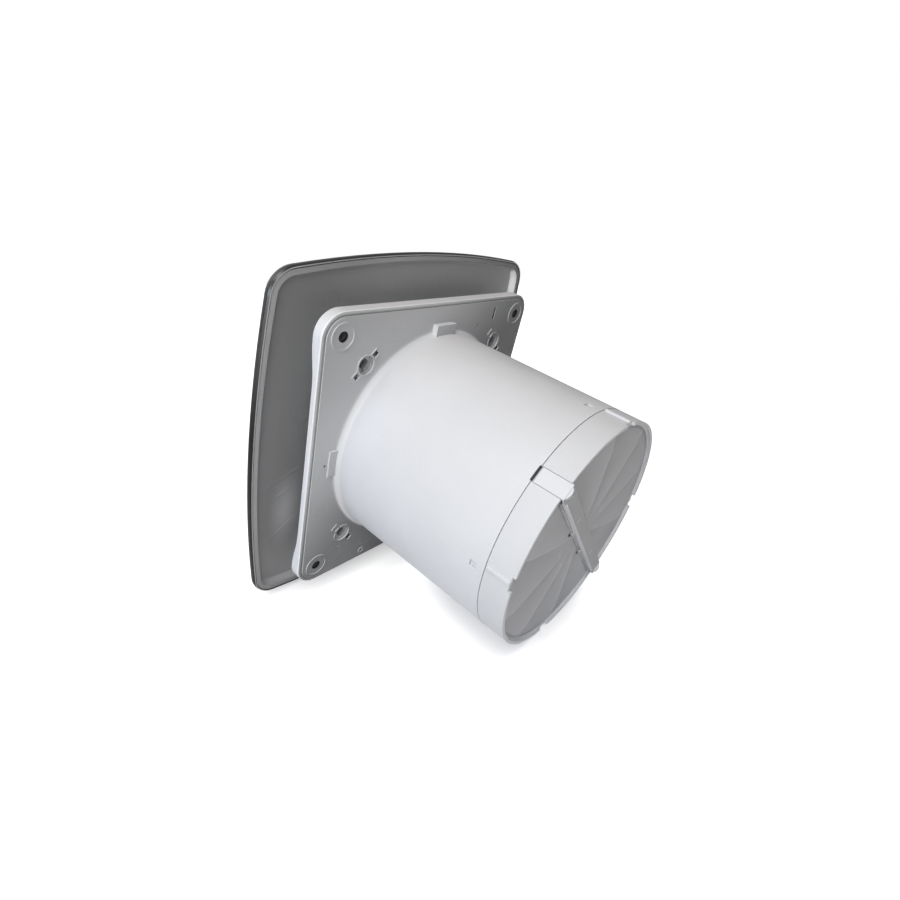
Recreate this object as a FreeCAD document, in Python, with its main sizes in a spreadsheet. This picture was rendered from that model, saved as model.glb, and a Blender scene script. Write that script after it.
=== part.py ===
import FreeCAD, Part
import math
import os

import Sketcher
from FreeCAD import Placement, Rotation, Vector

# Wall-mounted bathroom extractor fan for a 150 mm round duct, in millimetres.
#
# The frame: +Z is up, +Y runs along the duct into the wall, and the origin is where the
# duct axis meets the wall plane, which is the back of the mounting tray. Seen from the
# room, +X is to the right. The room side of the fan has negative Y.

# Driving dimensions: alias, number, meaning.
SIZES = [
    # Mounting tray and duct spigot, moulded in one
    ("tube_radius", 74.0, "outside radius of the duct spigot"),
    ("tube_wall", 2.2, "wall of the spigot"),
    ("tube_length", 116.0, "spigot length behind the tray"),
    ("tube_root", 4.1, "fillet where the spigot leaves the tray"),
    ("tray_half", 93.5, "half the side of the square tray"),
    ("tray_corner", 14.5, "corner radius of the tray"),
    ("tray_depth", 8.0, "depth of the tray's side walls"),
    ("tray_wall", 2.0, "thickness of the tray"),
    ("tray_step", 0.9, "step between the side walls and the back plate"),
    ("tray_inset", 2.6, "how far the back plate is set in from the side walls"),
    ("scallop_edge", 4.9, "depth of the side walls at the finger scallops"),
    ("scallop_half", 50.0, "half length of the straight part of a scallop"),
    ("scallop_blend", 15.0, "length of each arc at the ends of a scallop"),
    ("wall_screw_offset", 80.0, "wall screw holes from the two centre lines"),
    ("wall_screw_hole", 3.0, "radius of a wall screw hole"),
    ("boss_radius", 8.2, "outside radius of the ring around a wall screw hole"),
    ("boss_ring", 1.3, "width of that ring"),
    ("boss_rise", 0.6, "height of that ring above the back plate"),
    ("post_radius", 7.0, "radius of the hollow post in front of a wall screw hole"),
    ("socket_offset", 61.0, "cover sockets from the two centre lines"),
    ("socket_bore", 5.7, "bore of a cover socket"),
    ("socket_radius", 7.5, "outside radius of a cover socket"),
    ("socket_depth", 9.0, "how far a socket reaches to the front"),
    ("socket_rim", 0.6, "raised rim around the openings of a socket"),
    ("latch_gap", 8.6, "latch windows from the middle of a socket"),
    ("latch_side", 3.8, "side of a square latch window"),
    ("tab_half", 9.0, "half width of a screw tab beside the spigot"),
    ("tab_reach", 80.4, "outer end of a screw tab from the duct axis"),
    ("tab_rise", 4.0, "height of the upper and lower screw tabs"),
    ("tab_low_rise", 1.3, "height of the left and right screw tabs"),
    ("window_side", 4.0, "side of a latch window in the spigot"),
    ("window_start", 107.0, "where the spigot's latch windows begin"),
    ("slot_x", -53.5, "switch slot, across"),
    ("slot_z", 82.2, "switch slot, height of its middle"),
    ("slot_length", 8.5, "switch slot length"),
    ("slot_width", 2.0, "switch slot width"),
    ("drain_x", 40.0, "drain hole, across"),
    ("drain_z", -86.7, "drain hole, height"),
    ("drain_radius", 1.6, "drain hole radius"),
    ("pip_radius", 0.8, "radius of the small locating holes"),
    ("tab_screw_offset", 77.0, "cassette screws from the duct axis"),
    ("pilot_radius", 1.2, "pilot hole of a plastic-thread screw"),
    # Terminal compartment, in the tray's lower corner
    ("box_left", -70.0, "terminal box, inside of its left wall"),
    ("box_right", -15.0, "terminal box, inside of its right wall"),
    ("box_top", -79.0, "terminal box, inside of its top wall"),
    ("box_wall", 1.2, "terminal box wall"),
    ("box_depth", 13.0, "how far the terminal box reaches to the front"),
    ("lid_gap", 0.1, "play under the terminal cover"),
    ("block_left", -69.0, "terminal block, left end"),
    ("block_pole", 8.6, "length of one pole of the terminal block"),
    ("block_poles", 3.0, "number of poles"),
    ("block_low", -90.6, "terminal block, lower side"),
    ("block_high", -80.0, "terminal block, upper side"),
    ("block_front", 10.0, "terminal block, how far it stands to the front"),
    ("wire_port", 1.5, "radius of a wire hole in the terminal block"),
    ("lid_screw_x", -39.4, "terminal cover screw, across"),
    ("lid_post", 2.4, "radius of the post under the terminal cover screw"),
    ("mid_z", -85.2, "middle height of the terminal box"),
    ("clamp_x", -31.5, "cable clamp, across"),
    ("clamp_half", 2.6, "half width of the cable clamp"),
    ("clamp_reach", 5.9, "half length of the cable clamp"),
    ("clamp_screw", 4.0, "clamp screws from the middle of the clamp"),
    ("clamp_level", 6.0, "level of the clamp's underside"),
    ("clamp_thick", 2.2, "thickness of the clamp"),
    ("entry_x", -21.6, "cable entry, across"),
    ("entry_radius", 4.5, "cable entry hole radius"),
    ("grommet_bore", 3.3, "bore of the rubber grommet"),
    ("grommet_flange", 5.2, "radius of the grommet's flanges"),
    ("grommet_lip", 1.2, "thickness of the grommet's flanges and depth of the recess for one"),
    # Fan cassette: inlet, shroud, guide vanes and motor cup
    ("shroud_bore", 67.5, "bore of the shroud around the impeller"),
    ("shroud_wall", 1.5, "wall of the shroud"),
    ("shroud_end", 64.0, "rear end of the shroud and the vanes"),
    ("lip_front", 13.0, "how far the inlet lip reaches to the front"),
    ("lip_radius", 5.4, "radius of the flared inlet lip"),
    ("flange_radius", 78.6, "radius of the cassette's flange"),
    ("flange_thick", 2.0, "thickness of the cassette's flange"),
    ("ear_radius", 4.2, "radius of a screw ear on the flange"),
    ("screw_clear", 1.7, "clearance hole for a 3 mm screw"),
    ("vane_count", 9.0, "guide vanes"),
    ("vane_front", 38.0, "front edge of a guide vane"),
    ("vane_run", 7.0, "sideways run of a guide vane"),
    ("vane_thick", 1.8, "thickness of a guide vane"),
    ("cup_radius", 27.0, "outside radius of the motor cup"),
    ("cup_wall", 2.0, "wall of the motor cup"),
    ("cup_front", 34.0, "front rim of the motor cup"),
    ("cup_rear", 66.0, "rear face of the motor cup"),
    ("cup_round", 3.0, "rounding of the cup's rear edge"),
    ("motor_screw_offset", 16.5, "motor screws from the duct axis"),
    ("lead_plane", 236.6, "angle of the plane that holds the motor leads, from +X to +Z"),
    ("lead_radius", 0.9, "radius of a motor lead"),
    ("lead_offset", 1.1, "each lead from the lead plane"),
    ("lead_hole", 2.6, "radius of the holes that the leads pass"),
    ("lead_entry", 9.8, "where the leads enter the motor, from the duct axis"),
    ("lead_channel", 4.8, "width of the lead channel in the flange"),
    # Motor
    ("can_radius", 22.6, "outside radius of the motor can"),
    ("can_wall", 1.0, "wall of the motor can"),
    ("can_front", 36.0, "front end of the motor can"),
    ("can_rear", 62.0, "rear end of the motor can"),
    ("bell_thick", 2.0, "thickness of the front end bell"),
    ("bell_boss", 8.6, "radius of the bearing boss on the end bell"),
    ("bell_nose", 28.0, "front of the bearing boss"),
    ("bearing_radius", 6.5, "outside radius of a bearing"),
    ("bearing_width", 5.0, "width of a bearing"),
    ("bearing_bore", 2.5, "bore of a bearing"),
    ("seat_play", 0.03, "play of a bearing in its seat"),
    ("shaft_play", 0.03, "radial play of the shaft"),
    ("shaft_front", 1.5, "front end of the shaft"),
    ("rotor_radius", 11.6, "radius of the rotor"),
    ("air_gap", 0.4, "gap between the rotor and the stator"),
    ("core_front", 41.0, "front of the stator core"),
    ("core_length", 13.0, "length of the stator core"),
    ("slot_count", 12.0, "winding slots in the stator core"),
    ("slot_circle", 16.6, "circle of the winding slots"),
    ("slot_radius", 2.2, "radius of a winding slot"),
    ("coil_inner", 13.4, "inside radius of the winding's end turns"),
    ("coil_outer", 20.0, "outside radius of the winding's end turns"),
    ("coil_height", 4.0, "height of the end turns beyond the core"),
    ("damper_width", 4.0, "width of a rubber damper ring"),
    ("damper_play", 0.1, "play of a damper ring"),
    # Impeller
    ("tip_radius", 66.0, "radius of the blade tips"),
    ("hub_radius", 27.0, "radius of the impeller hub"),
    ("hub_front", 5.0, "front face of the hub"),
    ("hub_rear", 31.0, "rear rim of the hub"),
    ("hub_wall", 2.0, "wall of the hub"),
    ("hub_round", 7.0, "rounding of the hub's front edge"),
    ("hub_boss", 5.0, "radius of the boss around the shaft"),
    ("hub_boss_end", 22.0, "rear end of that boss"),
    ("blade_count", 7.0, "blades"),
    ("blade_front", 9.0, "front edge of a blade"),
    ("blade_rear", 29.0, "rear edge of a blade"),
    ("root_run", 14.0, "sideways run of a blade at the hub"),
    ("tip_run", 34.0, "sideways run of a blade at the tip"),
    ("blade_thick", 2.4, "thickness of a blade, measured sideways"),
    ("nut_radius", 4.0, "corner radius of the impeller nut"),
    ("nut_height", 2.8, "height of the impeller nut"),
    # Backdraught valve at the duct end of the spigot
    ("ring_radius", 73.9, "outside radius of the valve ring"),
    ("ring_bore", 72.0, "bore of the valve ring"),
    ("seam", 0.45, "open seam between the spigot and the valve ring"),
    ("ring_end", 133.4, "outer end of the valve ring"),
    ("sleeve_radius", 71.6, "outside radius of the ring's inner sleeve"),
    ("sleeve_bore", 69.6, "bore of that sleeve"),
    ("sleeve_start", 106.0, "where the sleeve begins inside the spigot"),
    ("sleeve_end", 118.6, "where the sleeve joins the ring"),
    ("latch_reach", 73.2, "how far a latch reaches into its window"),
    ("latch_play", 0.25, "play of a latch in its window"),
    ("seat_bore", 68.2, "bore of the flap seat"),
    ("seat_level", 131.3, "level of the flap seat"),
    ("seat_thick", 1.4, "thickness of the flap seat"),
    ("notch_width", 9.0, "width of a notch in the ring's rim"),
    ("notch_depth", 1.8, "depth of a notch in the ring's rim"),
    ("notch_angle", 2.7, "notches past the four quarter points"),
    ("rib_angle", 3.3, "ribs past the four quarter points"),
    ("rib_width", 1.6, "width of a rib on the ring"),
    ("rib_rise", 0.3, "height of a rib"),
    ("bridge_angle", 45.0, "lean of the bridge from +X towards +Z"),
    ("bridge_half", 4.6, "half width of the bridge"),
    ("bridge_low", 133.5, "underside of the bridge"),
    ("bridge_top", 134.9, "outer face of the bridge"),
    ("arm_half", 4.5, "half width of a clip arm"),
    ("arm_end", 117.4, "inner end of a clip arm"),
    ("arm_bore", 72.1, "inside radius of a clip arm"),
    ("arm_slot_half", 4.7, "half width of the slot for a clip arm"),
    ("arm_slot_floor", 71.9, "flat floor of the slot for a clip arm, from the duct axis"),
    ("lug_top", 136.5, "top of a thumb lug"),
    ("lug_half", 3.8, "half width of a thumb lug"),
    ("lug_thick", 2.4, "thickness of a thumb lug"),
    ("rod_side", 4.8, "hinge rods from the middle of the bridge"),
    ("rod_level", 131.6, "level of the hinge rods"),
    ("rod_radius", 0.7, "radius of a hinge rod"),
    ("rod_play", 0.06, "radial play of a hinge rod"),
    ("rod_half", 65.0, "half length of a hinge rod"),
    ("hook_place", 18.0, "hinge hooks from the duct axis"),
    ("hook_half", 1.4, "half width of a hinge hook"),
    ("hook_inner", 3.2, "inner side of a hinge hook"),
    ("hook_outer", 6.2, "outer side of a hinge hook"),
    ("hook_low", 130.3, "inner end of a hinge hook"),
    ("film_radius", 71.2, "radius of a film flap"),
    ("film_thick", 0.4, "thickness of a film flap"),
    ("film_notch_half", 2.3, "half width of the film's notch at a hook"),
    ("film_notch_end", 7.7, "end of that notch from the middle of the bridge"),
    # Front cover
    ("cover_rear", 22.1, "rear rim of the cover"),
    ("cover_front", 29.6, "front face of the cover"),
    ("cover_half", 116.8, "half width of the cover at the middle of a side"),
    ("cover_sagitta", 7.6, "bow of each side of the cover"),
    ("cover_corner", 17.0, "corner radius of the cover"),
    ("cover_edge", 4.8, "rounding of the cover's front edge"),
    ("hem_in", 0.5, "how far the skin is turned in at its rear rim"),
    ("hem_length", 1.5, "length of the turned-in hem"),
    ("skin_thick", 0.6, "thickness of the steel skin"),
    ("skin_gap", 0.15, "gap between the skin and the backing"),
    ("backing_half", 115.2, "half width of the plastic backing"),
    ("backing_rear", 22.4, "rear rim of the backing"),
    ("backing_rim", 2.8, "width of the backing's rim"),
    ("backing_thick", 1.8, "thickness of the backing"),
    ("backing_round", 3.8, "concave rounding inside the backing"),
    ("stud_radius", 5.2, "outside radius of a cover stud"),
    ("stud_bore", 3.2, "bore of a cover stud"),
    ("stud_end", 2.2, "end of a cover stud in front of the wall plane"),
    ("stud_split", 1.6, "width of the split across a cover stud"),
    ("stud_split_depth", 9.0, "depth of that split"),
    # Screws
    ("shank_radius", 1.15, "radius of a plastic-thread screw"),
    ("head_radius", 2.15, "radius of its pan head"),
    ("head_height", 1.6, "height of its pan head"),
    ("recess_radius", 1.0, "radius of the driver recess"),
    ("recess_depth", 0.9, "depth of the driver recess"),
]

doc = FreeCAD.newDocument("ExtractorFan")
sheet = doc.addObject("Spreadsheet::Sheet", "Sizes")
pieces = []


class Size:
    """A length that knows both its number and its expression on the Sizes sheet."""

    def __init__(self, value, text):
        self.value = value
        self.text = text

    def join(self, other, sign, value, swap=False):
        texts = [self.text, size(other).text]
        if swap:
            texts.reverse()
        return Size(value, f"({texts[0]} {sign} {texts[1]})")

    def __add__(self, other):
        return self.join(other, "+", self.value + size(other).value)

    def __sub__(self, other):
        return self.join(other, "-", self.value - size(other).value)

    def __mul__(self, other):
        return self.join(other, "*", self.value * size(other).value)

    def __truediv__(self, other):
        return self.join(other, "/", self.value / size(other).value)

    def __radd__(self, other):
        return self.join(other, "+", size(other).value + self.value, swap=True)

    def __rsub__(self, other):
        return self.join(other, "-", size(other).value - self.value, swap=True)

    def __rmul__(self, other):
        return self.join(other, "*", size(other).value * self.value, swap=True)

    def __neg__(self):
        return Size(-self.value, f"(0 - {self.text})")


class Dimensions:
    """Every driving dimension as an attribute named by its alias."""


def size(number):
    """A plain number as a Size; a Size as it is."""
    if isinstance(number, Size):
        return number
    return Size(float(number), repr(float(number)))


def cosine(angle):
    return Size(math.cos(math.radians(angle.value)), f"cos({angle.text} * 1 deg)")


def sine(angle):
    return Size(math.sin(math.radians(angle.value)), f"sin({angle.text} * 1 deg)")


def fill_sheet():
    """Write the driving dimensions to the sheet and return them by name."""
    found = Dimensions()
    for row, (alias, number, meaning) in enumerate(SIZES, start=1):
        sheet.set(f"A{row}", meaning)
        sheet.set(f"B{row}", repr(number))
        sheet.setAlias(f"B{row}", alias)
        setattr(found, alias, Size(number, f"Sizes.{alias}"))
    doc.recompute()
    return found


d = fill_sheet()
QUARTERS = ((1, 0), (0, 1), (-1, 0), (0, -1))
CORNERS = ((1, 1), (-1, 1), (-1, -1), (1, -1))


# ---------------------------------------------------------------- helpers: documents

def bind(thing, name, length):
    thing.setExpression(name, size(length).text)


def keep(thing, label):
    """Name a finished sub-part and put it on the list of pieces."""
    thing.Label = label
    pieces.append(thing)
    return thing


def new_body(name):
    return doc.addObject("PartDesign::Body", name)


def origin_feature(body, role):
    return [feature for feature in body.Origin.OriginFeatures if feature.Role == role][0]


def new_sketch(body, name, role, level=0):
    """A sketch on an origin plane, moved along the plane's normal to a level.

    XZ_Plane looks along -Y, so there the level is a Y position and is turned round."""
    sketch = body.newObject("Sketcher::SketchObject", name)
    sketch.AttachmentSupport = [(origin_feature(body, role), "")]
    sketch.MapMode = "FlatFace"
    shift = -size(level) if role == "XZ_Plane" else size(level)
    sketch.AttachmentOffset = Placement(Vector(0, 0, shift.value), Rotation())
    bind(sketch, "AttachmentOffset.Base.z", shift)
    return sketch


def edge_names(shape, test):
    return [f"Edge{i}" for i, edge in enumerate(shape.Edges, start=1) if test(edge)]


# ---------------------------------------------------------------- helpers: sketches

def arc_between(start, end, radius, turn):
    """The arc of a circle from start to end, turning left (+1) or right (-1)."""
    chord = end - start
    height = math.sqrt(max(radius ** 2 - (chord.Length / 2) ** 2, 0))
    left = Vector(-chord.y, chord.x, 0).normalize()
    centre = (start + end) / 2 + left * height * turn
    first, last = (start, end) if turn > 0 else (end, start)
    angle_first = math.atan2(first.y - centre.y, first.x - centre.x)
    angle_last = math.atan2(last.y - centre.y, last.x - centre.x)
    if angle_last < angle_first:
        angle_last += 2 * math.pi
    circle = Part.Circle(centre, Vector(0, 0, 1), radius)
    return Part.ArcOfCircle(circle, angle_first, angle_last)


def draw_outline(sketch, points, arcs=None):
    """A closed outline through points. arcs maps a point's index to (radius, turn) for the
    stretch that leaves it; every other stretch is straight. All points and radii are bound."""
    arcs = arcs or {}
    first = sketch.GeometryCount
    count = len(points)
    corners = [Vector(size(x).value, size(y).value, 0) for x, y in points]
    ends = []
    for i in range(count):
        here, there = corners[i], corners[(i + 1) % count]
        if i in arcs:
            radius, turn = arcs[i]
            sketch.addGeometry(arc_between(here, there, size(radius).value, turn), False)
            ends.append((1, 2) if turn > 0 else (2, 1))
        else:
            sketch.addGeometry(Part.LineSegment(here, there), False)
            ends.append((1, 2))
    for i in range(count):
        after = (i + 1) % count
        joint = Sketcher.Constraint("Coincident", first + i, ends[i][1], first + after, ends[after][0])
        sketch.addConstraint(joint)
    for i, (x, y) in enumerate(points):
        for kind, axis, length in (("DistanceX", "x", x), ("DistanceY", "y", y)):
            place = Sketcher.Constraint(kind, first + i, ends[i][0], size(length).value)
            name_and_bind(sketch, place, f"{axis}{first + i}", length)
    for i, (radius, _) in arcs.items():
        bend = Sketcher.Constraint("Radius", first + i, size(radius).value)
        name_and_bind(sketch, bend, f"r{first + i}", radius)


def draw_circles(sketch, centres, radius):
    """Equal circles at several centres."""
    for x, z in centres:
        index = sketch.GeometryCount
        middle = Vector(size(x).value, size(z).value, 0)
        sketch.addGeometry(Part.Circle(middle, Vector(0, 0, 1), size(radius).value), False)
        across = Sketcher.Constraint("DistanceX", index, 3, size(x).value)
        name_and_bind(sketch, across, f"x{index}", x)
        upward = Sketcher.Constraint("DistanceY", index, 3, size(z).value)
        name_and_bind(sketch, upward, f"y{index}", z)
        reach = Sketcher.Constraint("Radius", index, size(radius).value)
        name_and_bind(sketch, reach, f"r{index}", radius)


def name_and_bind(sketch, constraint, name, length):
    index = sketch.addConstraint(constraint)
    sketch.renameConstraint(index, name)
    bind(sketch, f"Constraints.{name}", length)


def rectangle(x_low, x_high, z_low, z_high):
    return [(x_low, z_low), (x_high, z_low), (x_high, z_high), (x_low, z_high)]


def draw_rounded_square(sketch, half, corner):
    flat = half - corner
    points = [(-flat, -half), (flat, -half), (half, -flat), (half, flat),
              (flat, half), (-flat, half), (-half, flat), (-half, -flat)]
    draw_outline(sketch, points, {i: (corner, 1) for i in (1, 3, 5, 7)})


def draw_bowed_square(sketch, half, sagitta):
    """A square whose four sides bow outwards as arcs."""
    corner = half - sagitta
    bow = (corner * corner + sagitta * sagitta) / (sagitta * 2)
    points = [(-corner, -corner), (corner, -corner), (corner, corner), (-corner, corner)]
    draw_outline(sketch, points, {i: (bow, 1) for i in range(4)})


# ---------------------------------------------------------------- helpers: features

def along_y(body, name, y_from, y_to, draw, cut=False):
    """Add or cut what draw() draws in the XZ plane, between two Y levels."""
    sketch = new_sketch(body, f"{name}_sketch", "XZ_Plane", y_from)
    draw(sketch)
    kind = "PartDesign::Pocket" if cut else "PartDesign::Pad"
    feature = body.newObject(kind, name)
    feature.Profile = sketch
    feature.Reversed = not cut
    bind(feature, "Length", size(y_to) - y_from)
    return feature


def circles_along_y(body, name, y_from, y_to, centres, radius, cut=False):
    return along_y(body, name, y_from, y_to, lambda s: draw_circles(s, centres, radius), cut)


def outline_along_y(body, name, y_from, y_to, outlines, cut=False):
    def draw(sketch):
        for points in outlines:
            draw_outline(sketch, points)
    return along_y(body, name, y_from, y_to, draw, cut)


def turned(body, name, points, arcs=None, cut=False):
    """Add or cut a turned shape around the duct axis; points are (radius, y) pairs."""
    sketch = new_sketch(body, f"{name}_sketch", "XY_Plane")
    draw_outline(sketch, points, arcs)
    kind = "PartDesign::Groove" if cut else "PartDesign::Revolution"
    feature = body.newObject(kind, name)
    feature.Profile = sketch
    feature.ReferenceAxis = (sketch, ["V_Axis"])
    feature.Angle = 360
    return feature


def repeat_round(body, feature, count):
    """Repeat a feature around the duct axis."""
    pattern = body.newObject("PartDesign::PolarPattern", f"{feature.Name}_all")
    pattern.Originals = [feature]
    pattern.Axis = (origin_feature(body, "Y_Axis"), [""])
    pattern.Angle = 360
    pattern.Occurrences = int(size(count).value)
    bind(pattern, "Occurrences", count)
    body.Tip = pattern
    return pattern


def soften(body, name, radius, test, kind="Fillet"):
    """Round the edges of the body's present shape that pass a test."""
    doc.recompute()
    base = body.Tip
    names = edge_names(base.Shape, test)
    feature = body.newObject(f"PartDesign::{kind}", name)
    feature.Base = (base, names)
    if kind == "Fillet":
        bind(feature, "Radius", radius)
    return feature


def cylinder(name, radius, y_from, y_to, x=0, z=0):
    """A cylinder along Y between two levels."""
    thing = doc.addObject("Part::Cylinder", name)
    thing.Placement = Placement(Vector(0, 0, 0), Rotation(Vector(1, 0, 0), -90))
    bind(thing, "Radius", radius)
    bind(thing, "Height", size(y_to) - y_from)
    for axis, length in (("x", x), ("y", y_from), ("z", z)):
        bind(thing, f"Placement.Base.{axis}", length)
    return thing


def block(name, x_range, y_range, z_range):
    """A box given by its ranges along X, Y and Z."""
    thing = doc.addObject("Part::Box", name)
    sides = (("x", "Length", x_range), ("y", "Width", y_range), ("z", "Height", z_range))
    for axis, side, (low, high) in sides:
        bind(thing, side, size(high) - low)
        bind(thing, f"Placement.Base.{axis}", low)
    return thing


def fused(name, things):
    thing = doc.addObject("Part::MultiFuse", name)
    thing.Shapes = things
    thing.Refine = True
    return thing


def minus(name, base, tools):
    """A shape less one or more others."""
    tool = tools[0] if len(tools) == 1 else fused(f"{name}_tools", tools)
    thing = doc.addObject("Part::Cut", name)
    thing.Base = base
    thing.Tool = tool
    thing.Refine = True
    return thing


def overlap(name, first, second):
    thing = doc.addObject("Part::Common", name)
    thing.Base = first
    thing.Tool = second
    return thing


def group(name, things):
    """Separate solids that share one node."""
    thing = doc.addObject("Part::Compound", name)
    thing.Links = things
    return thing


def washer(name, radius, bore, y_from, y_to):
    """A plain ring on the duct axis."""
    outer = cylinder(f"{name}_outer", radius, y_from, y_to)
    inner = cylinder(f"{name}_bore", bore, y_from, y_to)
    return minus(name, outer, [inner])


def screw(name, x, z, seat, tip, facing=-1):
    """A pan-head screw along Y. Its head stands on the seat level and faces the room (-1)
    or the duct (+1), and its shank runs from the seat to the tip."""
    low, high = (seat, tip) if facing < 0 else (tip, seat)
    shank = cylinder(f"{name}_shank", d.shank_radius, low, high, x, z)
    if facing < 0:
        head_from, head_to = size(seat) - d.head_height, seat
        recess_from, recess_to = head_from, head_from + d.recess_depth
    else:
        head_from, head_to = seat, size(seat) + d.head_height
        recess_from, recess_to = head_to - d.recess_depth, head_to
    head = cylinder(f"{name}_head", d.head_radius, head_from, head_to, x, z)
    recess = cylinder(f"{name}_recess", d.recess_radius, recess_from, recess_to, x, z)
    return minus(name, fused(f"{name}_blank", [shank, head]), [recess])


def around(radius, angle):
    """The (x, z) place at a radius and an angle from +X towards +Z."""
    return (radius * cosine(size(angle)), radius * sine(size(angle)))


# ---------------------------------------------------------------- housing

def side_scallop(body):
    """The long shallow scallops in the left and right side walls of the tray."""
    step = (d.tray_depth - d.scallop_edge) / 2
    bend = (d.scallop_blend * d.scallop_blend + step * step) / (step * 2)
    half, middle = d.scallop_half, d.scallop_half + d.scallop_blend
    end = middle + d.scallop_blend
    front = -d.tray_depth - 1
    points = [(front, -end), (-d.tray_depth, -end), (-d.scallop_edge - step, -middle),
              (-d.scallop_edge, -half), (-d.scallop_edge, half), (-d.scallop_edge - step, middle),
              (-d.tray_depth, end), (front, end)]
    arcs = {1: (bend, -1), 2: (bend, 1), 4: (bend, 1), 5: (bend, -1)}
    sketch = new_sketch(body, "scallop_sketch", "YZ_Plane", d.tray_half + 0.5)
    draw_outline(sketch, points, arcs)
    scallop = body.newObject("PartDesign::Pocket", "scallop")
    scallop.Profile = sketch
    bind(scallop, "Length", d.tray_wall + 1)
    mirrored = body.newObject("PartDesign::Mirrored", "scallop_pair")
    mirrored.Originals = [scallop]
    mirrored.MirrorPlane = (origin_feature(body, "YZ_Plane"), [""])
    body.Tip = mirrored


def latch_window_outlines(half):
    """Two squares beside each cover socket, turned to lie along the circle around the duct."""
    outlines = []
    reach = half * math.sqrt(2)
    shift = d.latch_gap / math.sqrt(2)
    for x_sign, z_sign in CORNERS:
        for side in (-1, 1):
            x = (d.socket_offset + shift * side) * x_sign
            z = (d.socket_offset - shift * side) * z_sign
            outlines.append([(x - reach, z), (x, z - reach), (x + reach, z), (x, z + reach)])
    return outlines


def tab_outlines(directions):
    """Screw tabs that run from inside the spigot's wall to their outer ends."""
    inner = d.tube_radius - 1
    outlines = []
    for x_way, z_way in directions:
        if x_way:
            ends = (inner, d.tab_reach) if x_way > 0 else (-d.tab_reach, -inner)
            outlines.append(rectangle(ends[0], ends[1], -d.tab_half, d.tab_half))
        else:
            ends = (inner, d.tab_reach) if z_way > 0 else (-d.tab_reach, -inner)
            outlines.append(rectangle(-d.tab_half, d.tab_half, ends[0], ends[1]))
    return outlines


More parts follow.
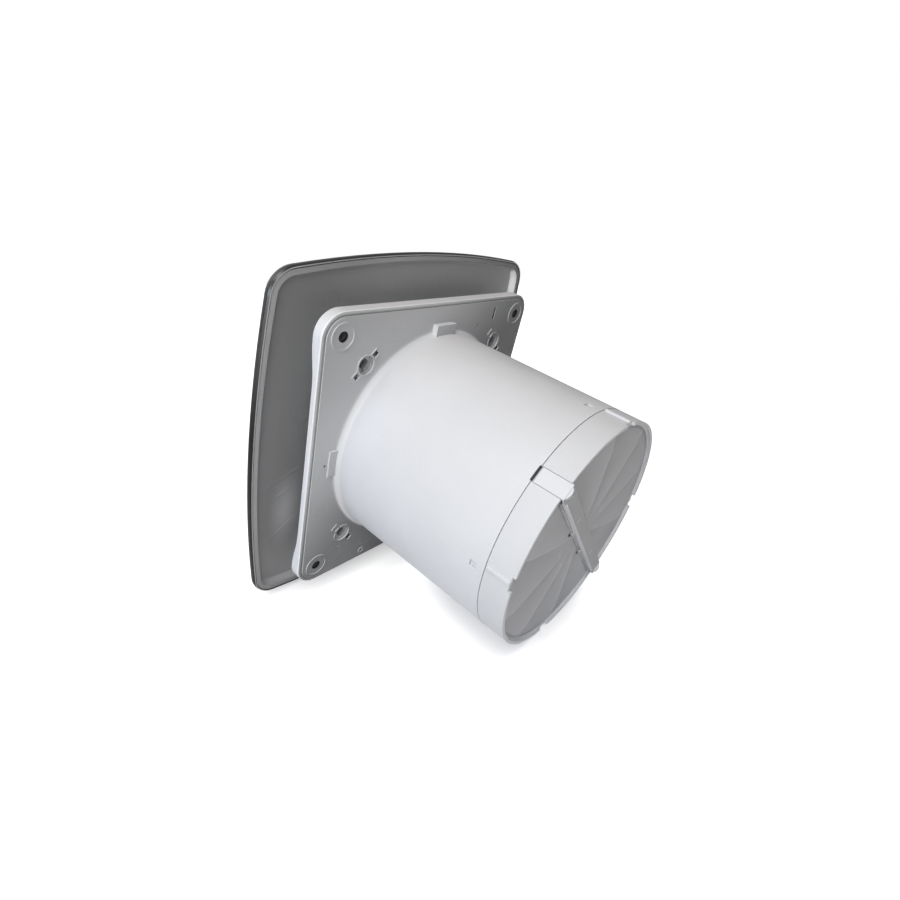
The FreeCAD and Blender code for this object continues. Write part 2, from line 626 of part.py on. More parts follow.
def housing():
    """Square mounting tray and duct spigot: one moulding that the wall screws hold."""
    body = new_body("Housing")
    screws = [(d.wall_screw_offset * x, d.wall_screw_offset * z) for x, z in CORNERS]
    sockets = [(d.socket_offset * x, d.socket_offset * z) for x, z in CORNERS]
    bore = d.tube_radius - d.tube_wall
    inner_half = d.tray_half - d.tray_wall
    inner_corner = d.tray_corner - d.tray_wall
    floor = -d.tray_wall
    low = -inner_half

    along_y(body, "side_walls", -d.tray_depth, -d.tray_step,
            lambda s: draw_rounded_square(s, d.tray_half, d.tray_corner))
    along_y(body, "back_plate", floor, 0,
            lambda s: draw_rounded_square(s, d.tray_half - d.tray_inset, d.tray_corner - d.tray_inset))
    along_y(body, "tray_hollow", -d.tray_depth, floor,
            lambda s: draw_rounded_square(s, inner_half, inner_corner), cut=True)
    side_scallop(body)
    outer_root = d.tube_radius + d.tube_root
    turned(body, "spigot",
           [(bore, floor), (outer_root, floor), (outer_root, 0), (d.tube_radius, d.tube_root),
            (d.tube_radius, d.tube_length), (bore, d.tube_length)],
           {2: (d.tube_root, -1)})
    circles_along_y(body, "duct_opening", floor, 0, [(0, 0)], bore, cut=True)

    circles_along_y(body, "screw_posts", -d.tray_depth, floor, screws, d.post_radius)
    circles_along_y(body, "screw_rings", 0, d.boss_rise, screws, d.boss_radius)
    circles_along_y(body, "screw_ring_floors", 0, d.boss_rise, screws,
                    d.boss_radius - d.boss_ring, cut=True)
    circles_along_y(body, "screw_holes", -d.tray_depth, d.boss_rise, screws,
                    d.wall_screw_hole, cut=True)

    circles_along_y(body, "cover_sockets", -d.socket_depth, floor, sockets, d.socket_radius)
    circles_along_y(body, "socket_rims", 0, d.socket_rim, sockets, d.socket_bore + 1)
    outline_along_y(body, "latch_rims", 0, d.socket_rim,
                    latch_window_outlines(d.latch_side / 2 + 0.8))
    circles_along_y(body, "socket_bores", -d.socket_depth, d.socket_rim, sockets,
                    d.socket_bore, cut=True)
    outline_along_y(body, "latch_windows", -d.socket_depth, d.socket_rim,
                    latch_window_outlines(d.latch_side / 2), cut=True)

    outline_along_y(body, "high_tabs", floor, d.tab_rise, tab_outlines(QUARTERS[1::2]))
    outline_along_y(body, "low_tabs", floor, d.tab_low_rise, tab_outlines(QUARTERS[0::2]))
    circles_along_y(body, "duct_clearance", floor, d.tab_rise, [(0, 0)], bore, cut=True)
    tab_screws = [(d.tab_screw_offset * x, d.tab_screw_offset * z) for x, z in QUARTERS]
    circles_along_y(body, "tab_pilots", floor, 0.6, tab_screws, d.pilot_radius, cut=True)

    for name, role in (("window_across", "YZ_Plane"), ("window_upright", "XY_Plane")):
        latch_windows(body, name, role)

    half_slot = d.slot_width / 2
    long_slot = d.slot_length / 2
    outline_along_y(body, "switch_slot", floor, 0, [rectangle(
        d.slot_x - half_slot, d.slot_x + half_slot, d.slot_z - long_slot, d.slot_z + long_slot)],
        cut=True)
    circles_along_y(body, "drain_rim", 0, d.boss_rise, [(d.drain_x, d.drain_z)], d.drain_radius + 1)
    circles_along_y(body, "drain_hole", floor, d.boss_rise, [(d.drain_x, d.drain_z)],
                    d.drain_radius, cut=True)
    pips = [(d.tab_reach + 2, -0.7), (d.slot_x + 16, d.slot_z - 7)]
    circles_along_y(body, "locating_holes", floor, 0, pips, d.pip_radius, cut=True)

    wall = d.box_wall
    outline_along_y(body, "terminal_box", -d.box_depth, floor, [
        rectangle(d.box_left - wall, d.box_right + wall, low - wall, d.box_top + wall),
        rectangle(d.box_left, d.box_right, low, d.box_top)])
    clamp_places = [(d.clamp_x, d.mid_z - d.clamp_screw), (d.clamp_x, d.mid_z + d.clamp_screw)]
    lid_place = [(d.lid_screw_x, d.mid_z)]
    circles_along_y(body, "clamp_posts", -d.clamp_level, floor, clamp_places, 1.6)
    circles_along_y(body, "lid_post", -d.box_depth, floor, lid_place, d.lid_post)
    circles_along_y(body, "clamp_pilots", -d.clamp_level, floor, clamp_places,
                    d.pilot_radius, cut=True)
    circles_along_y(body, "lid_pilot", -d.box_depth, floor, lid_place, d.pilot_radius, cut=True)
    circles_along_y(body, "cable_entry", floor, 0, [(d.entry_x, d.mid_z)], d.entry_radius, cut=True)
    circles_along_y(body, "grommet_recess", -d.grommet_lip, 0, [(d.entry_x, d.mid_z)],
                    d.grommet_flange + 0.1, cut=True)
    lead_x = d.box_top * cosine(d.lead_plane) / sine(d.lead_plane)
    notch = d.lead_channel * 0.75
    outline_along_y(body, "lead_notch", -d.box_depth, -d.tray_wall - 1.4, [rectangle(
        lead_x - notch, lead_x + notch, d.box_top - 0.1, d.box_top + wall + 0.1)],
        cut=True)

    def tray_rim(edge):
        level = edge.CenterOfMass.y
        side = max(abs(edge.CenterOfMass.x), abs(edge.CenterOfMass.z))
        return abs(level + d.tray_step.value) < 0.01 and side > d.tray_half.value - 6
    soften(body, "back_edge", 0.5, tray_rim)
    return keep(body, "housing")


def latch_windows(body, name, role):
    """A pair of square windows through opposite sides of the spigot."""
    half = d.window_side / 2
    y_low, y_high = d.window_start, d.window_start + d.window_side
    sketch = new_sketch(body, f"{name}_sketch", role)
    if role == "YZ_Plane":
        draw_outline(sketch, rectangle(y_low, y_high, -half, half))
    else:
        draw_outline(sketch, rectangle(-half, half, y_low, y_high))
    pocket = body.newObject("PartDesign::Pocket", name)
    pocket.Profile = sketch
    pocket.Midplane = True
    bind(pocket, "Length", d.tube_radius * 2 + 4)


# ---------------------------------------------------------------- terminal compartment

def terminal_block():
    """Screw terminal strip for the supply cable and the motor leads."""
    right = d.block_left + d.block_pole * d.block_poles
    top = -d.block_front
    base = block("block_body", (d.block_left, right), (top, -d.tray_wall - 0.1),
                 (d.block_low, d.block_high))
    tools = []
    poles = int(d.block_poles.value)
    for i in range(poles):
        x = d.block_left + d.block_pole * (i + 0.5)
        for j, z in enumerate((d.block_low + 2.6, d.block_high - 2.6)):
            tools.append(cylinder(f"screw_well_{i}{j}", d.pilot_radius + 0.6, top, -5.0, x, z))
        port = doc.addObject("Part::Cylinder", f"wire_port_{i}")
        bind(port, "Radius", d.wire_port)
        bind(port, "Height", d.block_high - d.block_low)
        for axis, length in (("x", x), ("y", -3.9), ("z", d.block_low)):
            bind(port, f"Placement.Base.{axis}", length)
        tools.append(port)
    for i in range(1, poles):
        x = d.block_left + d.block_pole * i
        tools.append(block(f"pole_groove_{i}", (x - 0.5, x + 0.5), (top, top + 2),
                           (d.block_low, d.block_high)))
    keep(minus("block_cut", base, tools), "terminal_block")

    screws = []
    for i in range(poles):
        x = d.block_left + d.block_pole * (i + 0.5)
        for j, z in enumerate((d.block_low + 2.6, d.block_high - 2.6)):
            pin = cylinder(f"clamp_pin_{i}{j}", 1.6, top + 0.8, -5.6, x, z)
            slot = block(f"clamp_slot_{i}{j}", (x - 0.3, x + 0.3), (top + 0.8, top + 1.5),
                         (z - 2, z + 2))
            screws.append(minus(f"clamp_screw_{i}{j}", pin, [slot]))
    keep(group("terminal_screw_set", screws), "terminal_screws")


def terminal_cover():
    """Lid of the terminal box with its one screw."""
    wall = d.box_wall
    rear = -d.box_depth - d.lid_gap
    front = rear - wall
    low = -(d.tray_half - d.tray_wall)
    body = new_body("TerminalCover")
    outline_along_y(body, "lid_plate", front, rear, [rectangle(
        d.box_left - wall, d.box_right + wall, low - wall, d.box_top + wall)])
    circles_along_y(body, "lid_screw_hole", front, rear, [(d.lid_screw_x, d.mid_z)],
                    d.screw_clear, cut=True)
    soften(body, "lid_corners", 1.5, lambda e: is_line_along_y(e) and abs(e.CenterOfMass.z - d.mid_z.value) > 5)
    keep(body, "terminal_cover")
    keep(screw("lid_screw", d.lid_screw_x, d.mid_z, front, -d.tray_wall - 3),
         "terminal_cover_screw")


def is_line_along_y(edge):
    direction = edge.Vertexes[-1].Point - edge.Vertexes[0].Point
    return direction.Length > 0 and abs(direction.y) > 0.999 * direction.Length


def cable_parts():
    """Cord anchorage and the grommet where the supply cable enters from the wall."""
    rear = -d.clamp_level - 0.1
    front = rear - d.clamp_thick
    body = new_body("CableClamp")
    outline_along_y(body, "clamp_bar", front, rear, [rectangle(
        d.clamp_x - d.clamp_half, d.clamp_x + d.clamp_half,
        d.mid_z - d.clamp_reach, d.mid_z + d.clamp_reach)])
    places = [(d.clamp_x, d.mid_z - d.clamp_screw), (d.clamp_x, d.mid_z + d.clamp_screw)]
    circles_along_y(body, "clamp_holes", front, rear, places, d.pilot_radius + 0.1, cut=True)
    soften(body, "clamp_corners", 1.0, lambda e: is_line_along_y(e) and e.Curve.TypeId == "Part::GeomLine"
           and abs(abs(e.CenterOfMass.x - d.clamp_x.value) - d.clamp_half.value) < 0.01)
    keep(body, "cable_clamp")
    screws = []
    for i, (x, z) in enumerate(places):
        screws.append(screw(f"clamp_fixing_{i}", x, z, front, -d.tray_wall - 0.4))
    keep(group("clamp_screw_set", screws), "cable_clamp_screws")

    flange, neck = d.grommet_flange, d.entry_radius - 0.1
    inner_face = -d.tray_wall - 0.05
    outer_face = 0.05 - d.grommet_lip
    body = new_body("Grommet")
    turned(body, "grommet_ring",
           [(d.grommet_bore, inner_face - d.grommet_lip), (flange - 0.8, inner_face - d.grommet_lip),
            (flange, inner_face), (neck, inner_face), (neck, outer_face), (flange, outer_face),
            (flange - 0.8, 0), (d.grommet_bore, 0)])
    bind(body, "Placement.Base.x", d.entry_x)
    bind(body, "Placement.Base.z", d.mid_z)
    keep(body, "cable_grommet")


# ---------------------------------------------------------------- fan cassette

def fan_cassette():
    """Flared inlet, shroud, guide vanes and motor cup: one moulding that screws into the tray."""
    bore, outer = d.shroud_bore, d.shroud_bore + d.shroud_wall
    seat = -d.tray_wall - 0.05
    flange_front = seat - d.flange_thick
    lip_level = d.lip_radius - d.lip_front
    lip_edge = bore + d.lip_radius
    body = new_body("FanCassette")
    turned(body, "shroud",
           [(bore, d.shroud_end), (bore, lip_level), (lip_edge, -d.lip_front),
            (lip_edge, -d.lip_front + d.shroud_wall), (outer, lip_level),
            (outer, flange_front), (d.flange_radius, flange_front), (d.flange_radius, seat),
            (outer, seat), (outer, d.shroud_end)],
           {1: (d.lip_radius, 1), 3: (d.lip_radius - d.shroud_wall, -1)})

    sketch = new_sketch(body, "vane_sketch", "XY_Plane", d.cup_radius - 1.2)
    half_run, half_thick = d.vane_run / 2, d.vane_thick / 2
    draw_outline(sketch, [
        (-half_run - half_thick, d.vane_front), (-half_run + half_thick, d.vane_front),
        (half_run + half_thick, d.shroud_end), (half_run - half_thick, d.shroud_end)],
        {1: (d.shroud_end, -1), 3: (d.shroud_end, 1)})
    vane = body.newObject("PartDesign::Pad", "vane")
    vane.Profile = sketch
    bind(vane, "Length", bore - d.cup_radius + 1.5)
    repeat_round(body, vane, d.vane_count)

    inside = d.cup_radius - d.cup_wall
    turned(body, "motor_cup",
           [(0, d.cup_rear), (0, d.cup_rear - d.cup_wall), (inside, d.cup_rear - d.cup_wall),
            (inside, d.cup_front), (d.cup_radius, d.cup_front),
            (d.cup_radius, d.cup_rear - d.cup_round), (d.cup_radius - d.cup_round, d.cup_rear)],
           {5: (d.cup_round, 1)})

    places = [(d.tab_screw_offset * x, d.tab_screw_offset * z) for x, z in QUARTERS]
    circles_along_y(body, "screw_ears", flange_front, seat, places, d.ear_radius)
    circles_along_y(body, "ear_holes", flange_front, seat, places, d.screw_clear, cut=True)
    rear_wall = d.cup_rear - d.cup_wall
    circles_along_y(body, "motor_screw_holes", rear_wall, d.cup_rear, motor_screw_places(),
                    d.screw_clear, cut=True)
    circles_along_y(body, "lead_hole", rear_wall, d.cup_rear,
                    [around(d.lead_entry, d.lead_plane)], d.lead_hole, cut=True)
    outline_along_y(body, "lead_channel", flange_front, seat, [lead_channel_outline()], cut=True)
    keep(body, "fan_cassette")

    screws = []
    for i, (x, z) in enumerate(places):
        screws.append(screw(f"cassette_fixing_{i}", x, z, flange_front, 0.4))
    keep(group("cassette_screw_set", screws), "cassette_screws")


def lead_channel_outline():
    """A slot through the flange, along the plane that holds the motor leads."""
    near, far = d.shroud_bore + d.shroud_wall + 0.05, d.flange_radius + 0.6
    half = d.lead_channel / 2
    across, upward = cosine(d.lead_plane), sine(d.lead_plane)
    points = []
    for reach, side in ((near, -1), (far, -1), (far, 1), (near, 1)):
        points.append((reach * across - half * side * upward, reach * upward + half * side * across))
    return points


def motor_screw_places():
    return [around(d.motor_screw_offset, angle) for angle in (60, 180, 300)]


# ---------------------------------------------------------------- motor

def motor():
    """Can, end bell, bearings, stator and the rubber rings that hold the motor in its cup."""
    bearing, width = d.bearing_radius, d.bearing_width
    seat = bearing + d.seat_play
    inside = d.can_radius - d.can_wall
    rear_wall = d.can_rear - d.can_wall
    rear_bearing = rear_wall - width
    body = new_body("MotorCan")
    turned(body, "can_shell",
           [(0, d.can_rear), (0, rear_wall), (seat, rear_wall), (seat, rear_bearing),
            (seat + 1.2, rear_bearing), (seat + 1.2, rear_wall), (inside, rear_wall),
            (inside, d.can_front), (d.can_radius, d.can_front), (d.can_radius, d.can_rear - 2),
            (d.can_radius - 2, d.can_rear)],
           {9: (2, 1)})
    circles_along_y(body, "can_screw_holes", rear_wall, d.can_rear, motor_screw_places(),
                    d.pilot_radius, cut=True)
    circles_along_y(body, "can_lead_hole", rear_wall, d.can_rear,
                    [around(d.lead_entry + 1.2, d.lead_plane)], d.lead_hole - 0.4, cut=True)
    keep(body, "motor_can")

    bell_front = d.can_front - d.bell_thick
    front_bearing = bell_front - width + 0.5
    body = new_body("EndBell")
    turned(body, "bell",
           [(d.bearing_bore + 1.5, d.bell_nose), (d.bell_boss, d.bell_nose),
            (d.bell_boss, bell_front), (d.can_radius, bell_front), (d.can_radius, d.can_front - 0.02),
            (inside - 0.05, d.can_front - 0.02), (inside - 0.05, d.can_front + 1.5),
            (inside - 1.5, d.can_front + 1.5), (inside - 1.5, d.can_front), (seat, d.can_front),
            (seat, front_bearing), (d.bearing_bore + 1.5, front_bearing)])
    vents = [around(15.2, 30 + 60 * i) for i in range(6)]
    circles_along_y(body, "bell_vents", bell_front, d.can_front, vents, 2.4, cut=True)
    keep(body, "motor_end_bell")

    for label, start in (("front_bearing", front_bearing + 0.02), ("rear_bearing", rear_bearing)):
        body = new_body(f"{label}_body")
        end = start + width - 0.02
        turned(body, f"{label}_ring",
               [(d.bearing_bore, start), (bearing, start), (bearing, end), (d.bearing_bore, end)])
        for side, low, high in (("front", start, start + 0.4), ("rear", end - 0.4, end)):
            turned(body, f"{label}_{side}_groove",
                   [(3.9, low), (5.4, low), (5.4, high), (3.9, high)], cut=True)
        keep(body, label)

    core_rear = d.core_front + d.core_length
    body = new_body("StatorCore")
    turned(body, "core",
           [(d.rotor_radius + d.air_gap, d.core_front), (inside - 0.05, d.core_front),
            (inside - 0.05, core_rear), (d.rotor_radius + d.air_gap, core_rear)])
    slot = circles_along_y(body, "winding_slot", d.core_front, core_rear,
                           [(d.slot_circle, 0)], d.slot_radius, cut=True)
    repeat_round(body, slot, d.slot_count)
    keep(body, "stator_core")

    coils = []
    ends = (("front_turns", d.core_front - d.coil_height, d.core_front - 0.05),
            ("rear_turns", core_rear + 0.05, core_rear + d.coil_height))
    for name, low, high in ends:
        body = new_body(name)
        turned(body, f"{name}_ring",
               [(d.coil_inner, low), (d.coil_outer, low), (d.coil_outer, high), (d.coil_inner, high)])
        soften(body, f"{name}_round", 1.4, lambda e: e.Curve.TypeId == "Part::GeomCircle")
        coils.append(body)
    keep(group("winding_set", coils), "stator_winding")

    play = d.damper_play
    cup_bore = d.cup_radius - d.cup_wall
    dampers = []
    for name, start in (("front_damper", d.can_front + 2), ("rear_damper", d.can_rear - 7)):
        dampers.append(washer(name, cup_bore - play, d.can_radius + play, start,
                              start + d.damper_width))
    keep(group("damper_set", dampers), "damper_rings")

    screws = []
    for i, (x, z) in enumerate(motor_screw_places()):
        screws.append(screw(f"motor_fixing_{i}", x, z, d.cup_rear, d.can_rear - 2.4, facing=1))
    keep(group("motor_screw_set", screws), "motor_screws")


def motor_leads():
    """Two insulated leads from the terminal block, along the shroud and into the motor."""
    channel = -d.tray_wall.value - d.lead_radius.value - 0.12
    gap_radius = d.shroud_bore.value + d.shroud_wall.value + 1.4
    behind = d.cup_rear.value + 1.4
    entry = d.lead_entry.value + 0.6
    route = [(94.2, -6.2), (84.0, -6.2), (80.6, channel), (gap_radius, channel),
             (gap_radius, behind), (entry, behind), (entry, d.can_rear.value - 2.2)]
    angle = math.radians(d.lead_plane.value)
    outward = Vector(math.cos(angle), 0, math.sin(angle))
    sideways = Vector(-math.sin(angle), 0, math.cos(angle))
    leads = []
    for side in (-1, 1):
        shift = sideways * d.lead_offset.value * side
        points = [outward * rho + Vector(0, y, 0) + shift for rho, y in route]
        leads.append(round_wire(points, 1.6, d.lead_radius.value))
    thing = doc.addObject("Part::Feature", "LeadPair")
    thing.Shape = Part.makeCompound(leads)
    keep(thing, "motor_leads")


def round_wire(points, bend, radius):
    """A round wire that follows a chain of points, with an arc of one bend radius at each."""
    edges = []
    start = points[0]
    for before, corner, after in zip(points, points[1:], points[2:]):
        inward = (corner - before).normalize()
        onward = (after - corner).normalize()
        turn = inward.getAngle(onward)
        trim = bend * math.tan(turn / 2)
        first, last = corner - inward * trim, corner + onward * trim
        towards = (onward - inward).normalize()
        middle = corner + towards * (bend / math.cos(turn / 2) - bend)
        edges.append(Part.LineSegment(start, first).toShape())
        edges.append(Part.Arc(first, middle, last).toShape())
        start = last
    edges.append(Part.LineSegment(start, points[-1]).toShape())
    path = Part.Wire(edges)
    direction = (points[1] - points[0]).normalize()
    ring = Part.Wire([Part.Circle(points[0], direction, radius).toShape()])
    return path.makePipeShell([ring], True, True)


# ---------------------------------------------------------------- rotating parts

def impeller_set():
    """Impeller, shaft, rotor and the nut that holds the impeller."""
    bore = d.bearing_bore
    shaft_radius = bore - d.shaft_play
    front, rear = d.hub_front, d.hub_rear
    inside = d.hub_radius - d.hub_wall
    face = front + d.hub_wall
    body = new_body("Impeller")
    turned(body, "hub",
           [(bore, front), (d.hub_radius - d.hub_round, front), (d.hub_radius, front + d.hub_round),
            (d.hub_radius, rear), (inside, rear), (inside, front + d.hub_round),
            (inside - d.hub_round + d.hub_wall, face), (d.hub_boss, face),
            (d.hub_boss, d.hub_boss_end), (bore, d.hub_boss_end)],
           {1: (d.hub_round, 1), 5: (d.hub_round - d.hub_wall, -1)})
    sections = []
    for name, level, run in (("root", inside + 0.6, d.root_run), ("tip", d.tip_radius + 3, d.tip_run)):
        sketch = new_sketch(body, f"blade_{name}", "XY_Plane", level)
        half, thick = run / 2, d.blade_thick / 2
        bow = run * 1.4
        draw_outline(sketch, [
            (-half - thick, d.blade_front), (-half + thick, d.blade_front),
            (half + thick, d.blade_rear), (half - thick, d.blade_rear)],
            {1: (bow, 1), 3: (bow, -1)})
        sections.append(sketch)
    blade = body.newObject("PartDesign::AdditiveLoft", "blade")
    blade.Profile = sections[0]
    blade.Sections = sections[1:]
    repeat_round(body, blade, d.blade_count)
    turned(body, "tip_trim",
           [(d.tip_radius, d.blade_front - 4), (d.tip_radius + 20, d.blade_front - 4),
            (d.tip_radius + 20, d.blade_rear + 4), (d.tip_radius, d.blade_rear + 4)], cut=True)
    keep(body, "impeller")

    rear_end = d.can_rear - d.can_wall - 0.3
    rod = cylinder("shaft_rod", shaft_radius, d.shaft_front, rear_end)
    keep(rod, "motor_shaft")

    core_rear = d.core_front + d.core_length
    keep(washer("rotor_body", d.rotor_radius, bore, d.core_front, core_rear), "motor_rotor")

    nut = doc.addObject("Part::Prism", "nut_blank")
    nut.Polygon = 6
    nut.Placement = Placement(Vector(0, 0, 0), Rotation(Vector(1, 0, 0), -90))
    bind(nut, "Circumradius", d.nut_radius)
    bind(nut, "Height", d.nut_height)
    nut_front = front - d.nut_height - 0.05
    bind(nut, "Placement.Base.y", nut_front)
    hole = cylinder("nut_bore", bore, nut_front, front)
    keep(minus("nut", nut, [hole]), "impeller_nut")


# ---------------------------------------------------------------- backdraught valve

def lean(thing):
    """Turn a valve part from its own frame, where the bridge lies along X, to its lean."""
    thing.Placement = Placement(Vector(0, 0, 0), Rotation(Vector(0, -1, 0), d.bridge_angle.value))
    return thing


def valve_ring():
    """End ring that latches into the spigot and carries the flap seat and the bridge."""
    start = d.tube_length + d.seam
    seat_low = d.seat_level - d.seat_thick
    body = new_body("ValveRing")
    turned(body, "ring",
           [(d.sleeve_bore, d.sleeve_start), (d.sleeve_radius, d.sleeve_start),
            (d.sleeve_radius, start), (d.ring_radius, start), (d.ring_radius, d.ring_end),
            (d.ring_bore, d.ring_end), (d.ring_bore, d.seat_level), (d.seat_bore, d.seat_level),
            (d.seat_bore, seat_low), (d.ring_bore, seat_low + 1), (d.ring_bore, d.sleeve_end),
            (d.sleeve_bore, d.sleeve_end)])

    sketch = new_sketch(body, "notch_sketch", "XZ_Plane", d.ring_end - d.notch_depth)
    draw_outline(sketch, rectangle(d.seat_bore + 2, d.ring_radius + 2,
                                   -d.notch_width / 2, d.notch_width / 2))
    sketch.AttachmentOffset = Placement(
        sketch.AttachmentOffset.Base, Rotation(Vector(0, 0, 1), d.notch_angle.value))
    notch = body.newObject("PartDesign::Pocket", "notch")
    notch.Profile = sketch
    bind(notch, "Length", d.notch_depth)
    repeat_round(body, notch, 4)

    sketch = new_sketch(body, "rib_sketch", "XZ_Plane", start + 0.6)
    draw_outline(sketch, rectangle(d.ring_radius - 0.5, d.ring_radius + d.rib_rise,
                                   -d.rib_width / 2, d.rib_width / 2))
    sketch.AttachmentOffset = Placement(
        sketch.AttachmentOffset.Base, Rotation(Vector(0, 0, 1), d.rib_angle.value))
    rib = body.newObject("PartDesign::Pad", "rib")
    rib.Profile = sketch
    rib.Reversed = True
    bind(rib, "Length", d.ring_end - d.notch_depth - start - 0.6)
    repeat_round(body, rib, 4)

    low = d.window_start + d.latch_play
    high = d.window_start + d.window_side - d.latch_play
    half = d.window_side / 2 - d.latch_play
    latch = outline_along_y(body, "latch", low, high, [rectangle(
        d.sleeve_radius - 0.6, d.latch_reach, -half, half)])
    repeat_round(body, latch, 4)
    doc.recompute()

    slots = []
    for i, side in enumerate((1, -1)):
        near, far = d.arm_slot_floor, d.ring_radius + 2
        ends = (near, far) if side > 0 else (-far, -near)
        slots.append(block(f"arm_slot_{i}", ends, (start - 0.2, d.ring_end + 1),
                           (-d.arm_slot_half, d.arm_slot_half)))
    cutter = lean(fused("arm_slots", slots))
    keep(minus("slotted_ring", body, [cutter]), "valve_ring")


def valve_bridge():
    """Bridge across the ring with two clip arms, thumb lugs and the hooks of the hinge rods."""
    bar = block("bridge_bar", (-d.ring_radius, d.ring_radius), (d.bridge_low, d.bridge_top),
                (-d.bridge_half, d.bridge_half))
    disc = cylinder("bridge_disc", d.ring_radius, d.bridge_low, d.bridge_top)
    shell = washer("arm_shell", d.ring_radius, d.arm_bore, d.arm_end, d.bridge_top)
    strip = block("arm_strip", (-d.ring_radius, d.ring_radius), (d.arm_end, d.bridge_top),
                  (-d.arm_half, d.arm_half))
    parts = [overlap("bar", bar, disc), overlap("arms", shell, strip)]
    for i, side in enumerate((1, -1)):
        near, far = d.ring_radius - d.lug_thick, d.ring_radius - 0.4
        ends = (near, far) if side > 0 else (-far, -near)
        lug = block(f"lug_block_{i}", ends, (d.bridge_low, d.lug_top), (-d.lug_half, d.lug_half))
        dome = doc.addObject("Part::Cylinder", f"lug_dome_{i}")
        dome_radius = (d.lug_half * d.lug_half) / 3.0
        dome.Placement = Placement(Vector(0, 0, 0), Rotation(Vector(0, 1, 0), 90))
        bind(dome, "Radius", dome_radius)
        bind(dome, "Height", ends[1] - ends[0])
        bind(dome, "Placement.Base.x", ends[0])
        bind(dome, "Placement.Base.y", d.lug_top - dome_radius)
        parts.append(overlap(f"lug_{i}", lug, dome))
    hooks = []
    for i, place in enumerate((-d.hook_place, d.hook_place)):
        for j, side in enumerate((1, -1)):
            ends = (d.hook_inner, d.hook_outer) if side > 0 else (-d.hook_outer, -d.hook_inner)
            hooks.append(block(f"hook_{i}{j}", (place - d.hook_half, place + d.hook_half),
                               (d.hook_low, d.bridge_low + 0.2), ends))
    blank = fused("bridge_blank", parts + hooks)
    eyes = []
    for j, side in enumerate((1, -1)):
        eyes.append(rod_along_x(f"eye_{j}", d.rod_radius + d.rod_play, d.rod_side * side))
    slits = []
    for i, place in enumerate((-66.0, -32.0, 32.0, 66.0)):
        slits.append(block(f"slit_{i}", (place - 0.5, place + 0.5), (d.bridge_low, d.bridge_top),
                           (-1.6, 1.6)))
    keep(lean(minus("bridge", blank, eyes + slits)), "valve_bridge")


def rod_along_x(name, radius, z):
    rod = doc.addObject("Part::Cylinder", name)
    rod.Placement = Placement(Vector(0, 0, 0), Rotation(Vector(0, 1, 0), 90))
    bind(rod, "Radius", radius)
    bind(rod, "Height", d.rod_half * 2)
    bind(rod, "Placement.Base.x", -d.rod_half)
    bind(rod, "Placement.Base.y", d.rod_level)
    bind(rod, "Placement.Base.z", z)
    return rod


def flap(label, side):
    """Half-round film flap with the hinge rod along its straight edge."""
    half_thick = d.film_thick / 2
    low, high = d.rod_level - half_thick, d.rod_level + half_thick
    disc = cylinder(f"{label}_disc", d.film_radius, low, high)
    reach = d.film_radius + 1
    ends = (d.rod_side, reach) if side > 0 else (-reach, -d.rod_side)
    half = block(f"{label}_half", (-reach, reach), (low, high), ends)
    film = overlap(f"{label}_film", disc, half)
    rod = rod_along_x(f"{label}_rod", d.rod_radius, d.rod_side * side)
    notches = []
    for i, place in enumerate((-d.hook_place, d.hook_place)):
        inner = d.rod_side + d.rod_radius - 0.05
        ends = (inner, d.film_notch_end) if side > 0 else (-d.film_notch_end, -inner)
        notches.append(block(f"{label}_notch_{i}", (place - d.film_notch_half, place + d.film_notch_half),
                             (low - 0.1, high + 0.1), ends))
    keep(lean(minus(f"{label}_cut", fused(f"{label}_blank", [film, rod]), notches)), label)


# ---------------------------------------------------------------- front cover

def cover_outline_body(name, half, corner, y_front, y_rear):
    """A bowed square slab with rounded corners."""
    body = new_body(name)
    along_y(body, f"{name}_slab", y_front, y_rear, lambda s: draw_bowed_square(s, half, d.cover_sagitta))
    soften(body, f"{name}_corners", corner, is_line_along_y)
    return body


def perimeter_at(level):
    """A test for the edges that lie at one Y level."""
    def test(edge):
        box = edge.BoundBox
        return abs(box.YMin - level) < 0.01 and abs(box.YMax - level) < 0.01
    return test


def pressed_slab(name, inset):
    """The outside of the pressed steel cap, drawn inwards by an inset all round."""
    front, rear = -d.cover_front + inset, -d.cover_rear
    body = cover_outline_body(name, d.cover_half - inset, d.cover_corner - inset, front, rear)
    soften(body, f"{name}_round", d.cover_edge - inset, perimeter_at(front.value))
    hem = soften(body, f"{name}_hem", 0, perimeter_at(rear.value), kind="Chamfer")
    hem.ChamferType = "Two distances"
    hem.FlipDirection = True
    bind(hem, "Size", d.hem_in)
    bind(hem, "Size2", d.hem_length)
    return body


def cover_skin():
    """Thin brushed steel cap with rounded front edges and a turned-in rear hem."""
    outside = pressed_slab("SkinOutside", size(0))
    inside = pressed_slab("SkinInside", d.skin_thick)
    keep(minus("skin", outside, [inside]), "cover_skin")


